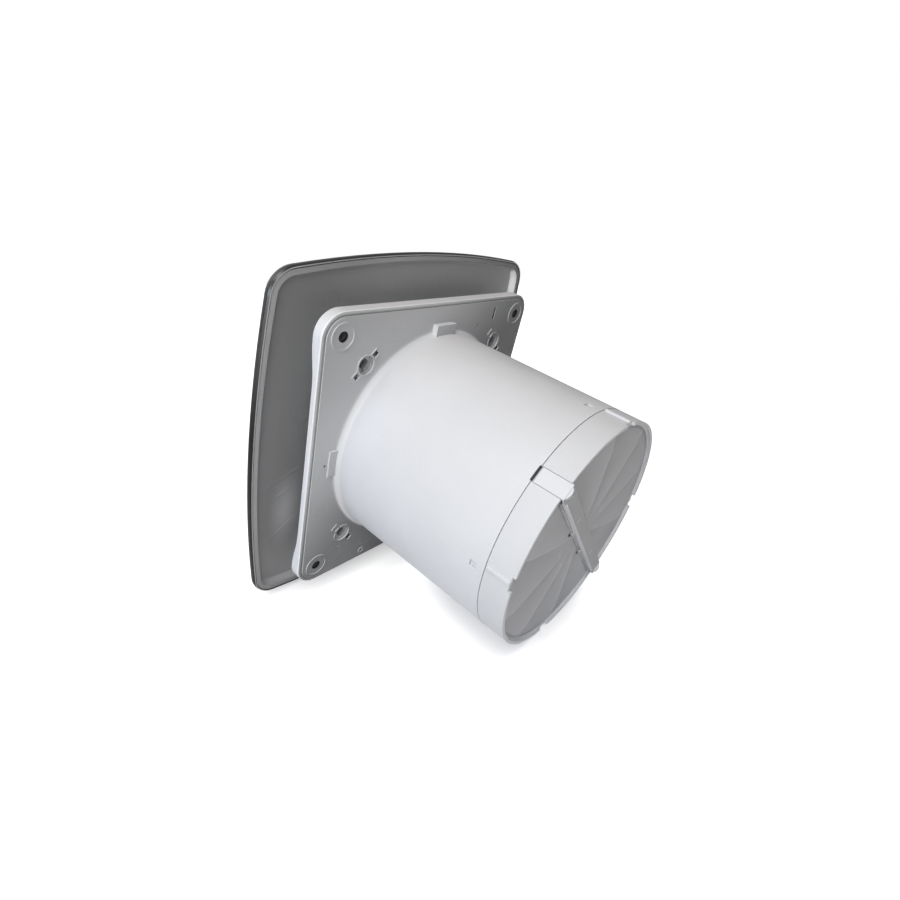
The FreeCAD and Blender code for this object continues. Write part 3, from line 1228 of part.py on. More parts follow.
def cover_backing():
    """Plastic backing of the cover: a dished panel with four split studs."""
    front = -d.cover_front + d.skin_thick + d.skin_gap
    rear = -d.backing_rear
    corner = d.cover_corner - 2.2
    floor = front + d.backing_thick
    slab = cover_outline_body("BackingSlab", d.backing_half, corner, front, rear)
    soften(slab, "backing_round", d.cover_edge - 1, perimeter_at(front.value))
    dish = cover_outline_body("BackingDish", d.backing_half - d.backing_rim, corner - 3, floor, rear + 1)
    soften(dish, "dish_round", d.backing_round, perimeter_at(floor.value))

    end = -d.stud_end
    half = d.stud_split / 2
    reach = d.stud_radius + 0.5
    added, removed = [], []
    for i, (x, z) in enumerate(CORNERS):
        x, z = d.socket_offset * x, d.socket_offset * z
        added.append(cylinder(f"stud_foot_{i}", d.stud_radius + 1.6, floor - 0.2, floor + 4, x, z))
        added.append(cylinder(f"stud_{i}", d.stud_radius, floor - 0.2, end, x, z))
        removed.append(cylinder(f"stud_bore_{i}", d.stud_bore, floor, end + 1, x, z))
        removed.append(block(f"stud_split_{i}", (x - half, x + half), (end - d.stud_split_depth, end + 1),
                             (z - reach, z + reach)))
    dished = minus("backing_dished", slab, [dish])
    keep(minus("backing", fused("backing_studded", [dished] + added), removed), "cover_backing")


# ---------------------------------------------------------------- build and write

def check_document():
    """Stop if any object of the document failed or any piece is not a valid solid."""
    for thing in doc.Objects:
        if "Invalid" in thing.State or "Error" in thing.State:
            raise RuntimeError(f"{thing.Label}: {thing.State}")
    for thing in pieces:
        shape = thing.Shape
        if shape.isNull() or not shape.isValid() or not shape.Solids:
            raise RuntimeError(f"{thing.Label} has no valid solid")


def write_pieces():
    os.makedirs("parts", exist_ok=True)
    for thing in pieces:
        thing.Shape.exportStep(os.path.join("parts", f"{thing.Label}.step"))
        print(f"{thing.Label}: {len(thing.Shape.Solids)} solid(s), {thing.Shape.Volume:.0f} mm3")


housing()
terminal_block()
terminal_cover()
cable_parts()
fan_cassette()
motor()
motor_leads()
impeller_set()
valve_ring()
valve_bridge()
flap("flap_upper", 1)
flap("flap_lower", -1)
cover_skin()
cover_backing()
doc.recompute()
check_document()
write_pieces()
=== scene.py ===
import math

import bmesh
import bpy
from mathutils import Matrix, Vector


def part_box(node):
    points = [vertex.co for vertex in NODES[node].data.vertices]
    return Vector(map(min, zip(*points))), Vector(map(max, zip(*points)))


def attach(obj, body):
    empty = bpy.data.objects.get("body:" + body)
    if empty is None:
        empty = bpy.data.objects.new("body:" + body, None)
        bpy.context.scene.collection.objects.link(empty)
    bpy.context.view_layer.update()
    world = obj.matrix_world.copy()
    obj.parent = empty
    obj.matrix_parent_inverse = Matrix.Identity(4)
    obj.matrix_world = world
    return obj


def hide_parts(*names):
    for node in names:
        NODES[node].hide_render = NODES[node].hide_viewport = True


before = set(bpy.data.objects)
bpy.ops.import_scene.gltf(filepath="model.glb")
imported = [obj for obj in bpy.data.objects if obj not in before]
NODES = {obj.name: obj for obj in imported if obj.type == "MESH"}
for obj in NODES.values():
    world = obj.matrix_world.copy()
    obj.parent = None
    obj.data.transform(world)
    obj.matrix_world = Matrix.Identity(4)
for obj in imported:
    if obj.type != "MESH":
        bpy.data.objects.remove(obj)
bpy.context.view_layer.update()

# The looks of a bathroom extractor fan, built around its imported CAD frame. Metres; +Z is up,
# +Y runs along the duct into the wall, and the cover is on the -Y side.

MM = 0.001

# The tray, measured from the duct's axis: its sockets, its wall screws and the end of its straight edge.
SOCKET_PLACE = 0.061
SCREW_PLACE = 0.080
TRAY_FLAT = 0.079
# The flaps: the angle of the first crease and from one crease to the next, in degrees.
GORE_START = 12
GORE_ANGLE = 36
HUB_RADIUS = 0.021
# The straight edge of a flap, in millimetres: its rod, the film beside it, and the notch at each hook.
ROD_PLACE = 4.8
ROD_RADIUS = 0.7
ROD_LENGTH = 130
FILM_EDGE = 5.2
FILM_THICK = 0.3
NOTCH_DEPTH = 7.7
NOTCH_NEAR = 15.7
NOTCH_FAR = 20.3


# ---------------------------------------------------------------- node helpers

class Nodes:
    """A short way to write a material's node tree."""

    def __init__(self, tree):
        self.tree = tree

    def add(self, kind, **settings):
        node = self.tree.nodes.new(kind)
        for name, value in settings.items():
            setattr(node, name, value)
        return node

    def link(self, source, target):
        self.tree.links.new(source, target)

    def feed(self, socket, value):
        """Give an input socket a link or a plain value."""
        if isinstance(value, bpy.types.NodeSocket):
            self.link(value, socket)
        else:
            socket.default_value = value

    def maths(self, operation, a, b=0.0, clamp=False):
        node = self.add("ShaderNodeMath", operation=operation, use_clamp=clamp)
        self.feed(node.inputs[0], a)
        self.feed(node.inputs[1], b)
        return node.outputs[0]

    def mapped(self, value, low, high, to_low, to_high, smooth=False):
        node = self.add("ShaderNodeMapRange")
        node.interpolation_type = "SMOOTHSTEP" if smooth else "LINEAR"
        for name, given in (("Value", value), ("From Min", low), ("From Max", high),
                            ("To Min", to_low), ("To Max", to_high)):
            self.feed(node.inputs[name], given)
        return node.outputs["Result"]

    def mix(self, factor, a, b, blend="MIX"):
        node = self.add("ShaderNodeMix", data_type="RGBA", blend_type=blend)
        self.feed(node.inputs["Factor"], factor)
        self.feed(node.inputs[6], a)
        self.feed(node.inputs[7], b)
        return node.outputs[2]

    def noise(self, vector, scale, detail=2.0, roughness=0.5):
        node = self.add("ShaderNodeTexNoise")
        node.inputs["Scale"].default_value = scale
        node.inputs["Detail"].default_value = detail
        node.inputs["Roughness"].default_value = roughness
        self.link(vector, node.inputs["Vector"])
        return node.outputs["Fac"]

    def place(self):
        """The position in the row frame at rest, in metres, from the mesh itself."""
        return self.add("ShaderNodeTexCoord").outputs["Object"]

    def stretched(self, vector, scale):
        node = self.add("ShaderNodeMapping")
        node.inputs["Scale"].default_value = scale
        self.link(vector, node.inputs["Vector"])
        return node.outputs["Vector"]

    def split(self, vector):
        node = self.add("ShaderNodeSeparateXYZ")
        self.link(vector, node.inputs[0])
        return node.outputs

    def bump(self, height, distance, strength=1.0, normal=None):
        node = self.add("ShaderNodeBump")
        node.inputs["Distance"].default_value = distance
        node.inputs["Strength"].default_value = strength
        self.link(height, node.inputs["Height"])
        if normal is not None:
            self.link(normal, node.inputs["Normal"])
        return node.outputs[0]


def linear(red, green, blue):
    """A colour given in sRGB from 0 to 255, as a linear colour."""
    parts = []
    for value in (red, green, blue):
        share = value / 255
        parts.append(share / 12.92 if share <= 0.04045 else ((share + 0.055) / 1.055) ** 2.4)
    return (*parts, 1.0)


def new_material(name):
    material = bpy.data.materials.new(name)
    material.use_nodes = True
    material.node_tree.nodes.clear()
    nodes = Nodes(material.node_tree)
    surface = nodes.add("ShaderNodeBsdfPrincipled")
    output = nodes.add("ShaderNodeOutputMaterial")
    nodes.link(surface.outputs[0], output.inputs["Surface"])
    return material, nodes, surface


# ---------------------------------------------------------------- materials

def length_of(nodes, across, up):
    """The length of a flat vector."""
    square = nodes.maths("ADD", nodes.maths("MULTIPLY", across, across), nodes.maths("MULTIPLY", up, up))
    return nodes.maths("SQRT", square)


def tray_painted_shade(nodes, place):
    """Painted shade: greyer on the tray's back, dark in its holes, on the ledge round it and in the slot by
    the clip; painted light on its +X faces.
    """
    where = nodes.split(place)
    facing = nodes.split(nodes.add("ShaderNodeNewGeometry").outputs["Normal"])
    turned = nodes.mapped(facing[1], 0.75, 0.97, 0.0, 1.0, smooth=True)
    low = nodes.mapped(where[1], 0.0042, 0.0048, 1.0, 0.0)
    diagonal = nodes.maths("ADD", where[0], where[2])
    # Painted shade on the back plate: darkest on the -X, -Z side, lightest towards +X, +Z, dimmer again at
    # that corner.
    plate = nodes.mapped(diagonal, -0.010, 0.100, 0.30, 0.70, smooth=True)
    plate = nodes.maths("MULTIPLY", plate, nodes.mapped(diagonal, 0.110, 0.165, 1.0, 0.83))
    tone = nodes.mapped(nodes.maths("MULTIPLY", turned, low), 0.0, 1.0, 1.0, plate)
    # Painted light: faces that look towards +X are a little brighter.
    flank = nodes.maths("MULTIPLY", nodes.mapped(facing[0], 0.6, 0.9, 0.0, 1.0), low)
    tone = nodes.maths("MULTIPLY", tone, nodes.mapped(flank, 0.0, 1.0, 1.0, 1.12))

    # Painted shade on the ledge round the back plate and in the sockets.
    wide = nodes.maths("ABSOLUTE", where[0])
    high = nodes.maths("ABSOLUTE", where[2])
    from_corner = length_of(nodes, nodes.maths("MAXIMUM", nodes.maths("SUBTRACT", wide, TRAY_FLAT), 0.0),
                            nodes.maths("MAXIMUM", nodes.maths("SUBTRACT", high, TRAY_FLAT), 0.0))
    sunk = nodes.mapped(where[1], -0.0005, -0.0003, 1.0, 0.0)
    shallow = nodes.mapped(where[1], -0.0019, -0.0018, 0.0, 1.0)
    below = nodes.maths("MULTIPLY", sunk, shallow)
    ledge = nodes.mapped(from_corner, 0.0119, 0.0134, 0.26, 1.20)
    socket = length_of(nodes, nodes.maths("SUBTRACT", wide, SOCKET_PLACE),
                       nodes.maths("SUBTRACT", high, SOCKET_PLACE))
    hole = nodes.mapped(socket, 0.0085, 0.0087, 0.55, 0.10)
    outside = nodes.mapped(from_corner, 0.0114, 0.0116, 0.0, 1.0)
    recess = nodes.mapped(outside, 0.0, 1.0, hole, ledge)
    tone = nodes.maths("MULTIPLY", tone, nodes.mapped(below, 0.0, 1.0, 1.0, recess))

    # Painted shade in the bores of the wall screws.
    screw = length_of(nodes, nodes.maths("SUBTRACT", wide, SCREW_PLACE),
                      nodes.maths("SUBTRACT", high, SCREW_PLACE))
    tone = nodes.maths("MULTIPLY", tone, nodes.mapped(screw, 0.00310, 0.00325, 0.18, 1.0))
    # A painted shadow: a near black slot at the seam by the clip.
    across = nodes.maths("ABSOLUTE", nodes.maths("SUBTRACT", where[2], where[0]))
    slot = nodes.maths("MULTIPLY", nodes.mapped(where[1], 0.1152, 0.1154, 0.0, 1.0),
                       nodes.mapped(across, 0.0062, 0.0064, 1.0, 0.0))
    slot = nodes.maths("MULTIPLY", slot, nodes.mapped(diagonal, 0.0, 0.05, 0.0, 1.0))
    return nodes.maths("MULTIPLY", tone, nodes.mapped(slot, 0.0, 1.0, 1.0, 0.06))


def bridge_painted_shade(nodes, place):
    """Painted shade: the face of the bridge that looks along the duct is greyer than its clips."""
    facing = nodes.split(nodes.add("ShaderNodeNewGeometry").outputs["Normal"])
    return nodes.mapped(facing[1], 0.80, 0.95, 1.0, 0.62, smooth=True)


def film_painted_shading(nodes, place):
    """Painted shading: each gore of a flap shades from one crease to the next, the two flaps the opposite
    way; the creases and a ring round the hub are lighter.
    """
    where = nodes.split(place)
    angle = nodes.maths("ARCTAN2", where[2], where[0])
    past = nodes.maths("SUBTRACT", angle, math.radians(GORE_START))
    turns = nodes.maths("DIVIDE", past, math.radians(GORE_ANGLE))
    share = nodes.maths("FRACT", nodes.maths("ADD", turns, 20.0))
    upper = nodes.mapped(nodes.maths("SUBTRACT", where[2], where[0]), -0.0001, 0.0001, -1.0, 1.0)
    # Painted shading across each gore, turned the other way on the other flap.
    swing = nodes.maths("MULTIPLY", nodes.mapped(share, 0.0, 1.0, -0.13, 0.13), upper)
    radius = length_of(nodes, where[0], where[2])
    swing = nodes.maths("MULTIPLY", swing, nodes.mapped(radius, 0.008, 0.022, 0.2, 1.0))
    from_middle = nodes.maths("ABSOLUTE", nodes.maths("SUBTRACT", share, 0.5))
    crease = nodes.mapped(from_middle, 0.470, 0.496, 0.0, 0.14)
    from_hub = nodes.maths("ABSOLUTE", nodes.maths("SUBTRACT", radius, HUB_RADIUS))
    hub = nodes.mapped(from_hub, 0.0, 0.0012, 0.08, 0.0)
    return nodes.maths("ADD", nodes.maths("ADD", nodes.maths("ADD", swing, crease), hub), 0.99)


def cover_painted_light(nodes, place):
    """Painted light inside the cover: a painted highlight on the -X wall, painted light on the lower wall
    and a painted reflection in one patch; painted shade towards +X, and painted light and shade varying
    along the rim.
    """
    where = nodes.split(place)
    facing = nodes.split(nodes.add("ShaderNodeNewGeometry").outputs["Normal"])
    # Painted highlight on the wall at -X, painted light on the lower wall.
    inward = nodes.maths("MULTIPLY", nodes.mapped(facing[0], 0.15, 0.55, 0.0, 1.0, smooth=True),
                         nodes.mapped(where[0], -0.102, -0.100, 1.0, 0.0))
    upward = nodes.maths("MULTIPLY", nodes.mapped(facing[2], 0.15, 0.55, 0.0, 1.0, smooth=True),
                         nodes.mapped(where[2], -0.102, -0.100, 1.0, 0.0))
    # A painted reflection in one patch.
    tall = nodes.maths("DIVIDE", nodes.maths("ADD", where[2], 0.048), 2.6)
    patch = nodes.maths("ADD", where[0], -0.088)
    painted_reflection = nodes.mapped(length_of(nodes, tall, patch), 0.0, 0.014, 0.75, 0.0, smooth=True)
    painted_wall_light = nodes.maths("ADD", nodes.maths("MULTIPLY", inward, 2.2), nodes.maths("MULTIPLY", upward, 0.45))
    # Painted shade towards +X; painted light and shade that vary along the rim.
    shade = nodes.mapped(where[0], 0.020, 0.110, 1.09, 0.72, smooth=True)
    on_rim = nodes.mapped(where[1], -0.0228, -0.0226, 0.0, 1.0)
    rim = nodes.maths("MULTIPLY", nodes.mapped(where[0], -0.100, 0.020, 0.62, 1.05),
                      nodes.mapped(where[0], 0.060, 0.105, 1.0, 1.38))
    rim = nodes.maths("MULTIPLY", rim, nodes.mapped(where[2], -0.100, -0.040, 0.74, 1.0))
    rim = nodes.maths("MULTIPLY", rim, nodes.mapped(where[2], 0.095, 0.108, 1.0, 0.86))
    shade = nodes.maths("MULTIPLY", shade, nodes.mapped(on_rim, 0.0, 1.0, 1.0, rim))
    return nodes.maths("MULTIPLY", nodes.maths("ADD", nodes.maths("ADD", painted_wall_light, painted_reflection), 1.0), shade)


def moulded(name, colour, roughness=0.42, tint=0.02, grain=0.012, edge=0.35, gloss=0.35, tone=None):
    """Moulded plastic: faint mottling, a fine spark-eroded grain and softened edges; a tone, when given, is
    painted light and shade.
    """
    material, nodes, surface = new_material(name)
    place = nodes.place()
    cloud = nodes.noise(place, 28.0, 3.0)
    fleck = nodes.noise(place, 900.0, 2.0)
    darker = nodes.mapped(cloud, 0.3, 0.7, 1.0 - tint, 1.0 + tint)
    speckled = nodes.mapped(fleck, 0.3, 0.7, 1.0 - tint * 0.5, 1.0 + tint * 0.5)
    both = nodes.maths("MULTIPLY", darker, speckled)
    # The tone paints light and shade into the colour.
    if tone is not None:
        both = nodes.maths("MULTIPLY", both, tone(nodes, place))
    scaled = nodes.add("ShaderNodeVectorMath", operation="SCALE")
    scaled.inputs[0].default_value = colour[:3]
    nodes.link(both, scaled.inputs["Scale"])
    nodes.link(scaled.outputs[0], surface.inputs["Base Color"])
    rough = nodes.mapped(nodes.noise(place, 60.0, 4.0), 0.3, 0.7, roughness - 0.05, roughness + 0.07)
    nodes.link(rough, surface.inputs["Roughness"])
    surface.inputs["Specular IOR Level"].default_value = gloss
    soft = nodes.add("ShaderNodeBevel", samples=4)
    soft.inputs["Radius"].default_value = edge * MM
    waves = nodes.bump(nodes.noise(place, 22.0, 1.0), 0.05 * MM, 0.6, soft.outputs[0])
    fine = nodes.bump(nodes.noise(place, 2600.0, 1.0), grain * MM, 0.8, waves)
    nodes.link(fine, surface.inputs["Normal"])
    return material


def steel_painted_reflection(nodes, place):
    """Painted reflection on the cover's steel: its sides are darker than its front, darkest low down and
    greyer towards the top.
    """
    where = nodes.split(place)
    facing = nodes.split(nodes.add("ShaderNodeNewGeometry").outputs["Normal"])
    side = nodes.mapped(nodes.maths("ABSOLUTE", facing[1]), 0.25, 0.80, 1.0, 0.0, smooth=True)
    dim = nodes.mapped(where[2], 0.010, 0.085, 0.055, 0.33, smooth=True)
    return nodes.mapped(side, 0.0, 1.0, 1.0, dim)


def brushed(name, colour, direction=(1.0, 1.0, 0.02), roughness=0.3):
    """Brushed sheet steel: long fine scratches along one axis, with a painted reflection on the cover's
    sides.
    """
    material, nodes, surface = new_material(name)
    place = nodes.place()
    along = nodes.stretched(place, direction)
    streak = nodes.noise(along, 2200.0, 3.0, 0.7)
    wide = nodes.noise(along, 240.0, 2.0)
    cloud = nodes.noise(place, 14.0, 2.0)
    tone = nodes.mapped(streak, 0.3, 0.7, 0.90, 1.05)
    tone = nodes.maths("MULTIPLY", tone, nodes.mapped(wide, 0.3, 0.7, 0.96, 1.03))
    tone = nodes.maths("MULTIPLY", tone, nodes.mapped(cloud, 0.3, 0.7, 0.98, 1.02))
    # Painted reflection: the cover's sides are darkened.
    tone = nodes.maths("MULTIPLY", tone, steel_painted_reflection(nodes, place))
    scaled = nodes.add("ShaderNodeVectorMath", operation="SCALE")
    scaled.inputs[0].default_value = colour[:3]
    nodes.link(tone, scaled.inputs["Scale"])
    nodes.link(scaled.outputs[0], surface.inputs["Base Color"])
    surface.inputs["Metallic"].default_value = 1.0
    rough = nodes.mapped(streak, 0.3, 0.7, roughness - 0.07, roughness + 0.09)
    nodes.link(rough, surface.inputs["Roughness"])
    surface.inputs["Anisotropic"].default_value = 0.55
    nodes.link(nodes.bump(streak, 0.006 * MM, 0.7), surface.inputs["Normal"])
    return material


def metal(name, colour, roughness=0.3, stretch=(1.0, 1.0, 1.0), scale=700.0, depth=0.004):
    """Plain machined or plated metal with fine directional marks and dull patches."""
    material, nodes, surface = new_material(name)
    place = nodes.place()
    mark = nodes.noise(nodes.stretched(place, stretch), scale, 3.0, 0.6)
    patch = nodes.noise(place, 90.0, 3.0)
    tone = nodes.maths("MULTIPLY", nodes.mapped(mark, 0.3, 0.7, 0.9, 1.06),
                       nodes.mapped(patch, 0.3, 0.7, 0.94, 1.04))
    scaled = nodes.add("ShaderNodeVectorMath", operation="SCALE")
    scaled.inputs[0].default_value = colour[:3]
    nodes.link(tone, scaled.inputs["Scale"])
    nodes.link(scaled.outputs[0], surface.inputs["Base Color"])
    surface.inputs["Metallic"].default_value = 1.0
    rough = nodes.mapped(patch, 0.3, 0.7, roughness - 0.06, roughness + 0.1)
    nodes.link(rough, surface.inputs["Roughness"])
    nodes.link(nodes.bump(mark, depth * MM, 0.7), surface.inputs["Normal"])
    return material


# ---------------------------------------------------------------- stage, light and camera

WHITE = linear(255, 255, 255)
# Each source: its azimuth from +X and its elevation in degrees, colour and strength, sharpness.
SKY = (
    (18, 64, (3.50, 3.55, 3.85), 20.0),
    (-14, 5, (2.20, 2.70, 3.40), 20.0),
    (-127, 36, (0.80, 0.95, 1.00), 20.0),
    (-31, 62, (1.05, 0.60, 0.10), 20.0),
    (-87, 6, (0.30, 0.30, 0.31), 6.0),
    (180, 8, (0.45, 0.46, 0.48), 12.0),
)
# What glossy rays see in place of SKY.
MIRRORED_SKY = (
    (18, 64, (3.00, 3.05, 3.30), 20.0),
    (0, 3, (3.20, 3.40, 3.70), 20.0),
    (-45, 46, (1.50, 1.50, 1.55), 30.0),
    (-90, 9, (0.75, 0.75, 0.76), 4.0),
    (158, 56, (0.20, 0.20, 0.21), 3.0),
)


def lobe(nodes, direction, azimuth, elevation, colour, sharpness):
    """Light that falls off smoothly around one direction of the sky."""
    around, up = math.radians(azimuth), math.radians(elevation)
    towards = (math.cos(up) * math.cos(around), math.cos(up) * math.sin(around), math.sin(up))
    facing = nodes.add("ShaderNodeVectorMath", operation="DOT_PRODUCT")
    nodes.link(direction, facing.inputs[0])
    facing.inputs[1].default_value = towards
    level = nodes.maths("POWER", nodes.maths("MAXIMUM", facing.outputs["Value"], 0.0), sharpness)
    scaled = nodes.add("ShaderNodeVectorMath", operation="SCALE")
    scaled.inputs[0].default_value = colour
    nodes.link(level, scaled.inputs["Scale"])
    return scaled.outputs[0]


def sources(nodes, direction, table):
    """The sum of several soft sources."""
    total = None
    for azimuth, elevation, colour, sharpness in table:
        part = lobe(nodes, direction, azimuth, elevation, colour, sharpness)
        if total is None:
            total = part
            continue
        both = nodes.add("ShaderNodeVectorMath", operation="ADD")
        nodes.link(total, both.inputs[0])
        nodes.link(part, both.inputs[1])
        total = both.outputs[0]
    return total


def studio_world():
    """White to the camera; its light comes from a few wide soft sources, most of it from +X and above."""
    world = bpy.data.worlds.new("studio")
    bpy.context.scene.world = world
    world.use_nodes = True
    world.node_tree.nodes.clear()
    nodes = Nodes(world.node_tree)
    direction = nodes.add("ShaderNodeTexCoord").outputs["Generated"]
    ray = nodes.add("ShaderNodeLightPath")
    lit = nodes.mix(ray.outputs["Is Glossy Ray"], sources(nodes, direction, SKY),
                    sources(nodes, direction, MIRRORED_SKY))
    light = nodes.add("ShaderNodeBackground")
    nodes.link(lit, light.inputs["Color"])
    light.inputs["Strength"].default_value = 1.0
    seen = nodes.add("ShaderNodeBackground")
    seen.inputs["Color"].default_value = WHITE
    seen.inputs["Strength"].default_value = 1.0
    pick = nodes.add("ShaderNodeMixShader")
    nodes.link(ray.outputs["Is Camera Ray"], pick.inputs[0])
    nodes.link(light.outputs[0], pick.inputs[1])
    nodes.link(seen.outputs[0], pick.inputs[2])
    nodes.link(pick.outputs[0], nodes.add("ShaderNodeOutputWorld").inputs["Surface"])


def soft_box(name, place, target, size, power, colour):
    light = bpy.data.lights.new(name, "AREA")
    light.shape = "SQUARE"
    light.size = size
    light.energy = power
    light.color = colour[:3]
    lamp = bpy.data.objects.new(name, light)
    bpy.context.scene.collection.objects.link(lamp)
    lamp.location = place
    lamp.rotation_mode = "QUATERNION"
    lamp.rotation_quaternion = (Vector(target) - Vector(place)).to_track_quat("-Z", "Y")
    lamp.visible_camera = False
    return lamp


def pale_floor():
    """The fan lies on its cover's lower edge and on the end of its spigot, so the floor leans."""
    cover_low, cover_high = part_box("cover_skin")
    ring_low, ring_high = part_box("valve_ring")
    front = Vector((0, (cover_low.y + cover_high.y) / 2, cover_low.z))
    rear = Vector((0, ring_high.y, ring_low.z))
    slope = math.atan2(rear.z - front.z, rear.y - front.y)
    mesh = bpy.data.meshes.new("floor")
    reach = 3.0
    square = ((-reach, -reach), (reach, -reach), (reach, reach), (-reach, reach))
    corners = [Vector((x, y, 0)) for x, y in square]
    mesh.from_pydata(corners, [], [(0, 1, 2, 3)])
    floor = bpy.data.objects.new("floor", mesh)
    bpy.context.scene.collection.objects.link(floor)
    floor.matrix_world = Matrix.Translation(front - Vector((0, 0, 0.0006))) @ Matrix.Rotation(slope, 4, "X")
    material, nodes, surface = new_material("pale_floor")
    grain = nodes.noise(nodes.place(), 35.0, 3.0)
    tone = nodes.mapped(grain, 0.3, 0.7, 0.93, 0.95)
    colour = nodes.add("ShaderNodeCombineColor")
    for i in range(3):
        nodes.link(tone, colour.inputs[i])
    nodes.link(colour.outputs[0], surface.inputs["Base Color"])
    surface.inputs["Roughness"].default_value = 0.9
    surface.inputs["Specular IOR Level"].default_value = 0.1
    surface.inputs["Emission Color"].default_value = WHITE
    # To the camera the floor also emits white; ambient occlusion cuts that emission near the fan, a painted
    # contact shadow.
    ray = nodes.add("ShaderNodeLightPath")
    near = nodes.add("ShaderNodeAmbientOcclusion", samples=8)
    near.inputs["Distance"].default_value = 0.03
    painted_contact_shadow = nodes.mapped(near.outputs["AO"], 0.45, 0.98, 0.32, 0.94)
    nodes.link(nodes.maths("MULTIPLY", ray.outputs["Is Camera Ray"], painted_contact_shadow),
               surface.inputs["Emission Strength"])
    clear = nodes.add("ShaderNodeBsdfTransparent")
    pick = nodes.add("ShaderNodeMixShader")
    nodes.link(nodes.add("ShaderNodeNewGeometry").outputs["Backfacing"], pick.inputs[0])
    nodes.link(surface.outputs[0], pick.inputs[1])
    nodes.link(clear.outputs[0], pick.inputs[2])
    output = [node for node in material.node_tree.nodes if node.type == "OUTPUT_MATERIAL"][0]
    nodes.link(pick.outputs[0], output.inputs["Surface"])
    mesh.materials.append(material)


def photo_camera():
    """The camera behind the fan, to its right as seen from the room, and above it."""
    place, target = Vector((0.26806, 0.21230, 0.18270)), Vector((-0.01989, 0.01435, -0.01198))
    upward = Vector((-0.25461, -0.46404, 0.84843))
    back = (place - target).normalized()
    right = upward.cross(back).normalized()
    axes = Matrix((right, back.cross(right), back)).transposed()
    camera = bpy.data.objects.new("camera", bpy.data.cameras.new("camera"))
    bpy.context.scene.collection.objects.link(camera)
    camera.matrix_world = Matrix.Translation(place) @ axes.to_4x4()
    camera.data.sensor_width = 36.0
    camera.data.lens = 22.133
    camera.data.clip_start = 0.01
    bpy.context.scene.camera = camera


# ---------------------------------------------------------------- finish of each CAD node

def paint(node, material):
    """Give a CAD node its material."""
    piece = NODES[node]
    piece.data.materials.clear()
    piece.data.materials.append(material)


# ---------------------------------------------------------------- pieces built here

S = math.sqrt(0.5)
ALONG = Vector((S, 0, S))
ACROSS = Vector((-S, 0, S))
RING_RADIUS = 73.9 * MM
FILM_LEVEL = 131.6 * MM
COVER_FLOOR = -27.05 * MM
# Places on the back face and inside the cover, as (x, z) in millimetres.
COVER_MARKS = ((27, 97), (-24, 99), (-64, 90), (66, 90), (82, 22), (83, -67))
COVER_LINES = (((80, -17), (103, -27)), ((86, -30), (95, -35)), ((79, -55), (99, -68)))
TRAY_MARKS = ((40, 80), (82, -34), (66, -77), (37, -76))


def smooth_step(value, low, high):
    share = min(max((value - low) / (high - low), 0.0), 1.0)
    return share * share * (3 - 2 * share)


def finish_piece(name, bm, material, body):
    """Turn a bmesh into a piece that rides a body."""
    bmesh.ops.recalc_face_normals(bm, faces=bm.faces[:])
    mesh = bpy.data.meshes.new(name)
    bm.to_mesh(mesh)
    bm.free()
    for polygon in mesh.polygons:
        polygon.use_smooth = True
    mesh.materials.append(material)
    piece = bpy.data.objects.new(name, mesh)
    bpy.context.scene.collection.objects.link(piece)
    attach(piece, body)
    return piece


def rounded_box(bm, centre, axes, halves, rounding):
    """A box with rounded edges, given by its centre, its three directions and half sizes."""
    turn = Matrix(axes).transposed().to_4x4()
    scale = Matrix.Diagonal(Vector((*[half * 2 for half in halves], 1)))
    made = bmesh.ops.create_cube(bm, size=1.0, matrix=Matrix.Translation(centre) @ turn @ scale)
    edges = list({edge for vert in made["verts"] for edge in vert.link_edges})
    bmesh.ops.bevel(bm, geom=edges, offset=rounding, segments=3, profile=0.5, affect="EDGES")


def round_ridge(bm, centre, radius, width, height):
    """A low round ridge on a face that looks towards +Y: what an ejector pin leaves."""
    profile = ((-width, -0.1 * MM), (0, height), (width, -0.1 * MM), (0, -0.2 * MM))
    steps = 40
    rings = []
    for i in range(steps):
        angle = 2 * math.pi * i / steps
        way = Vector((math.cos(angle), 0, math.sin(angle)))
        rings.append([bm.verts.new(centre + way * (radius + out) + Vector((0, rise, 0)))
                      for out, rise in profile])
    for i in range(steps):
        for j in range(4):
            k = (j + 1) % 4
            n = (i + 1) % steps
            bm.faces.new((rings[i][j], rings[i][k], rings[n][k], rings[n][j]))


def film_height(radius, angle, across):
    """Relief of a film flap: ten sagging gores between sharp radial creases."""
    share = ((angle - GORE_START) % GORE_ANGLE) / GORE_ANGLE
    bow = (2 * share - 1) ** 2 - 0.33
    reach = smooth_step(radius, 9 * MM, 26 * MM) * (1 - smooth_step(radius, 61 * MM, 67 * MM))
    return 1.15 * MM * bow * reach * smooth_step(across, 6 * MM, 13 * MM)


def everything(bm):
    return bm.verts[:] + bm.edges[:] + bm.faces[:]


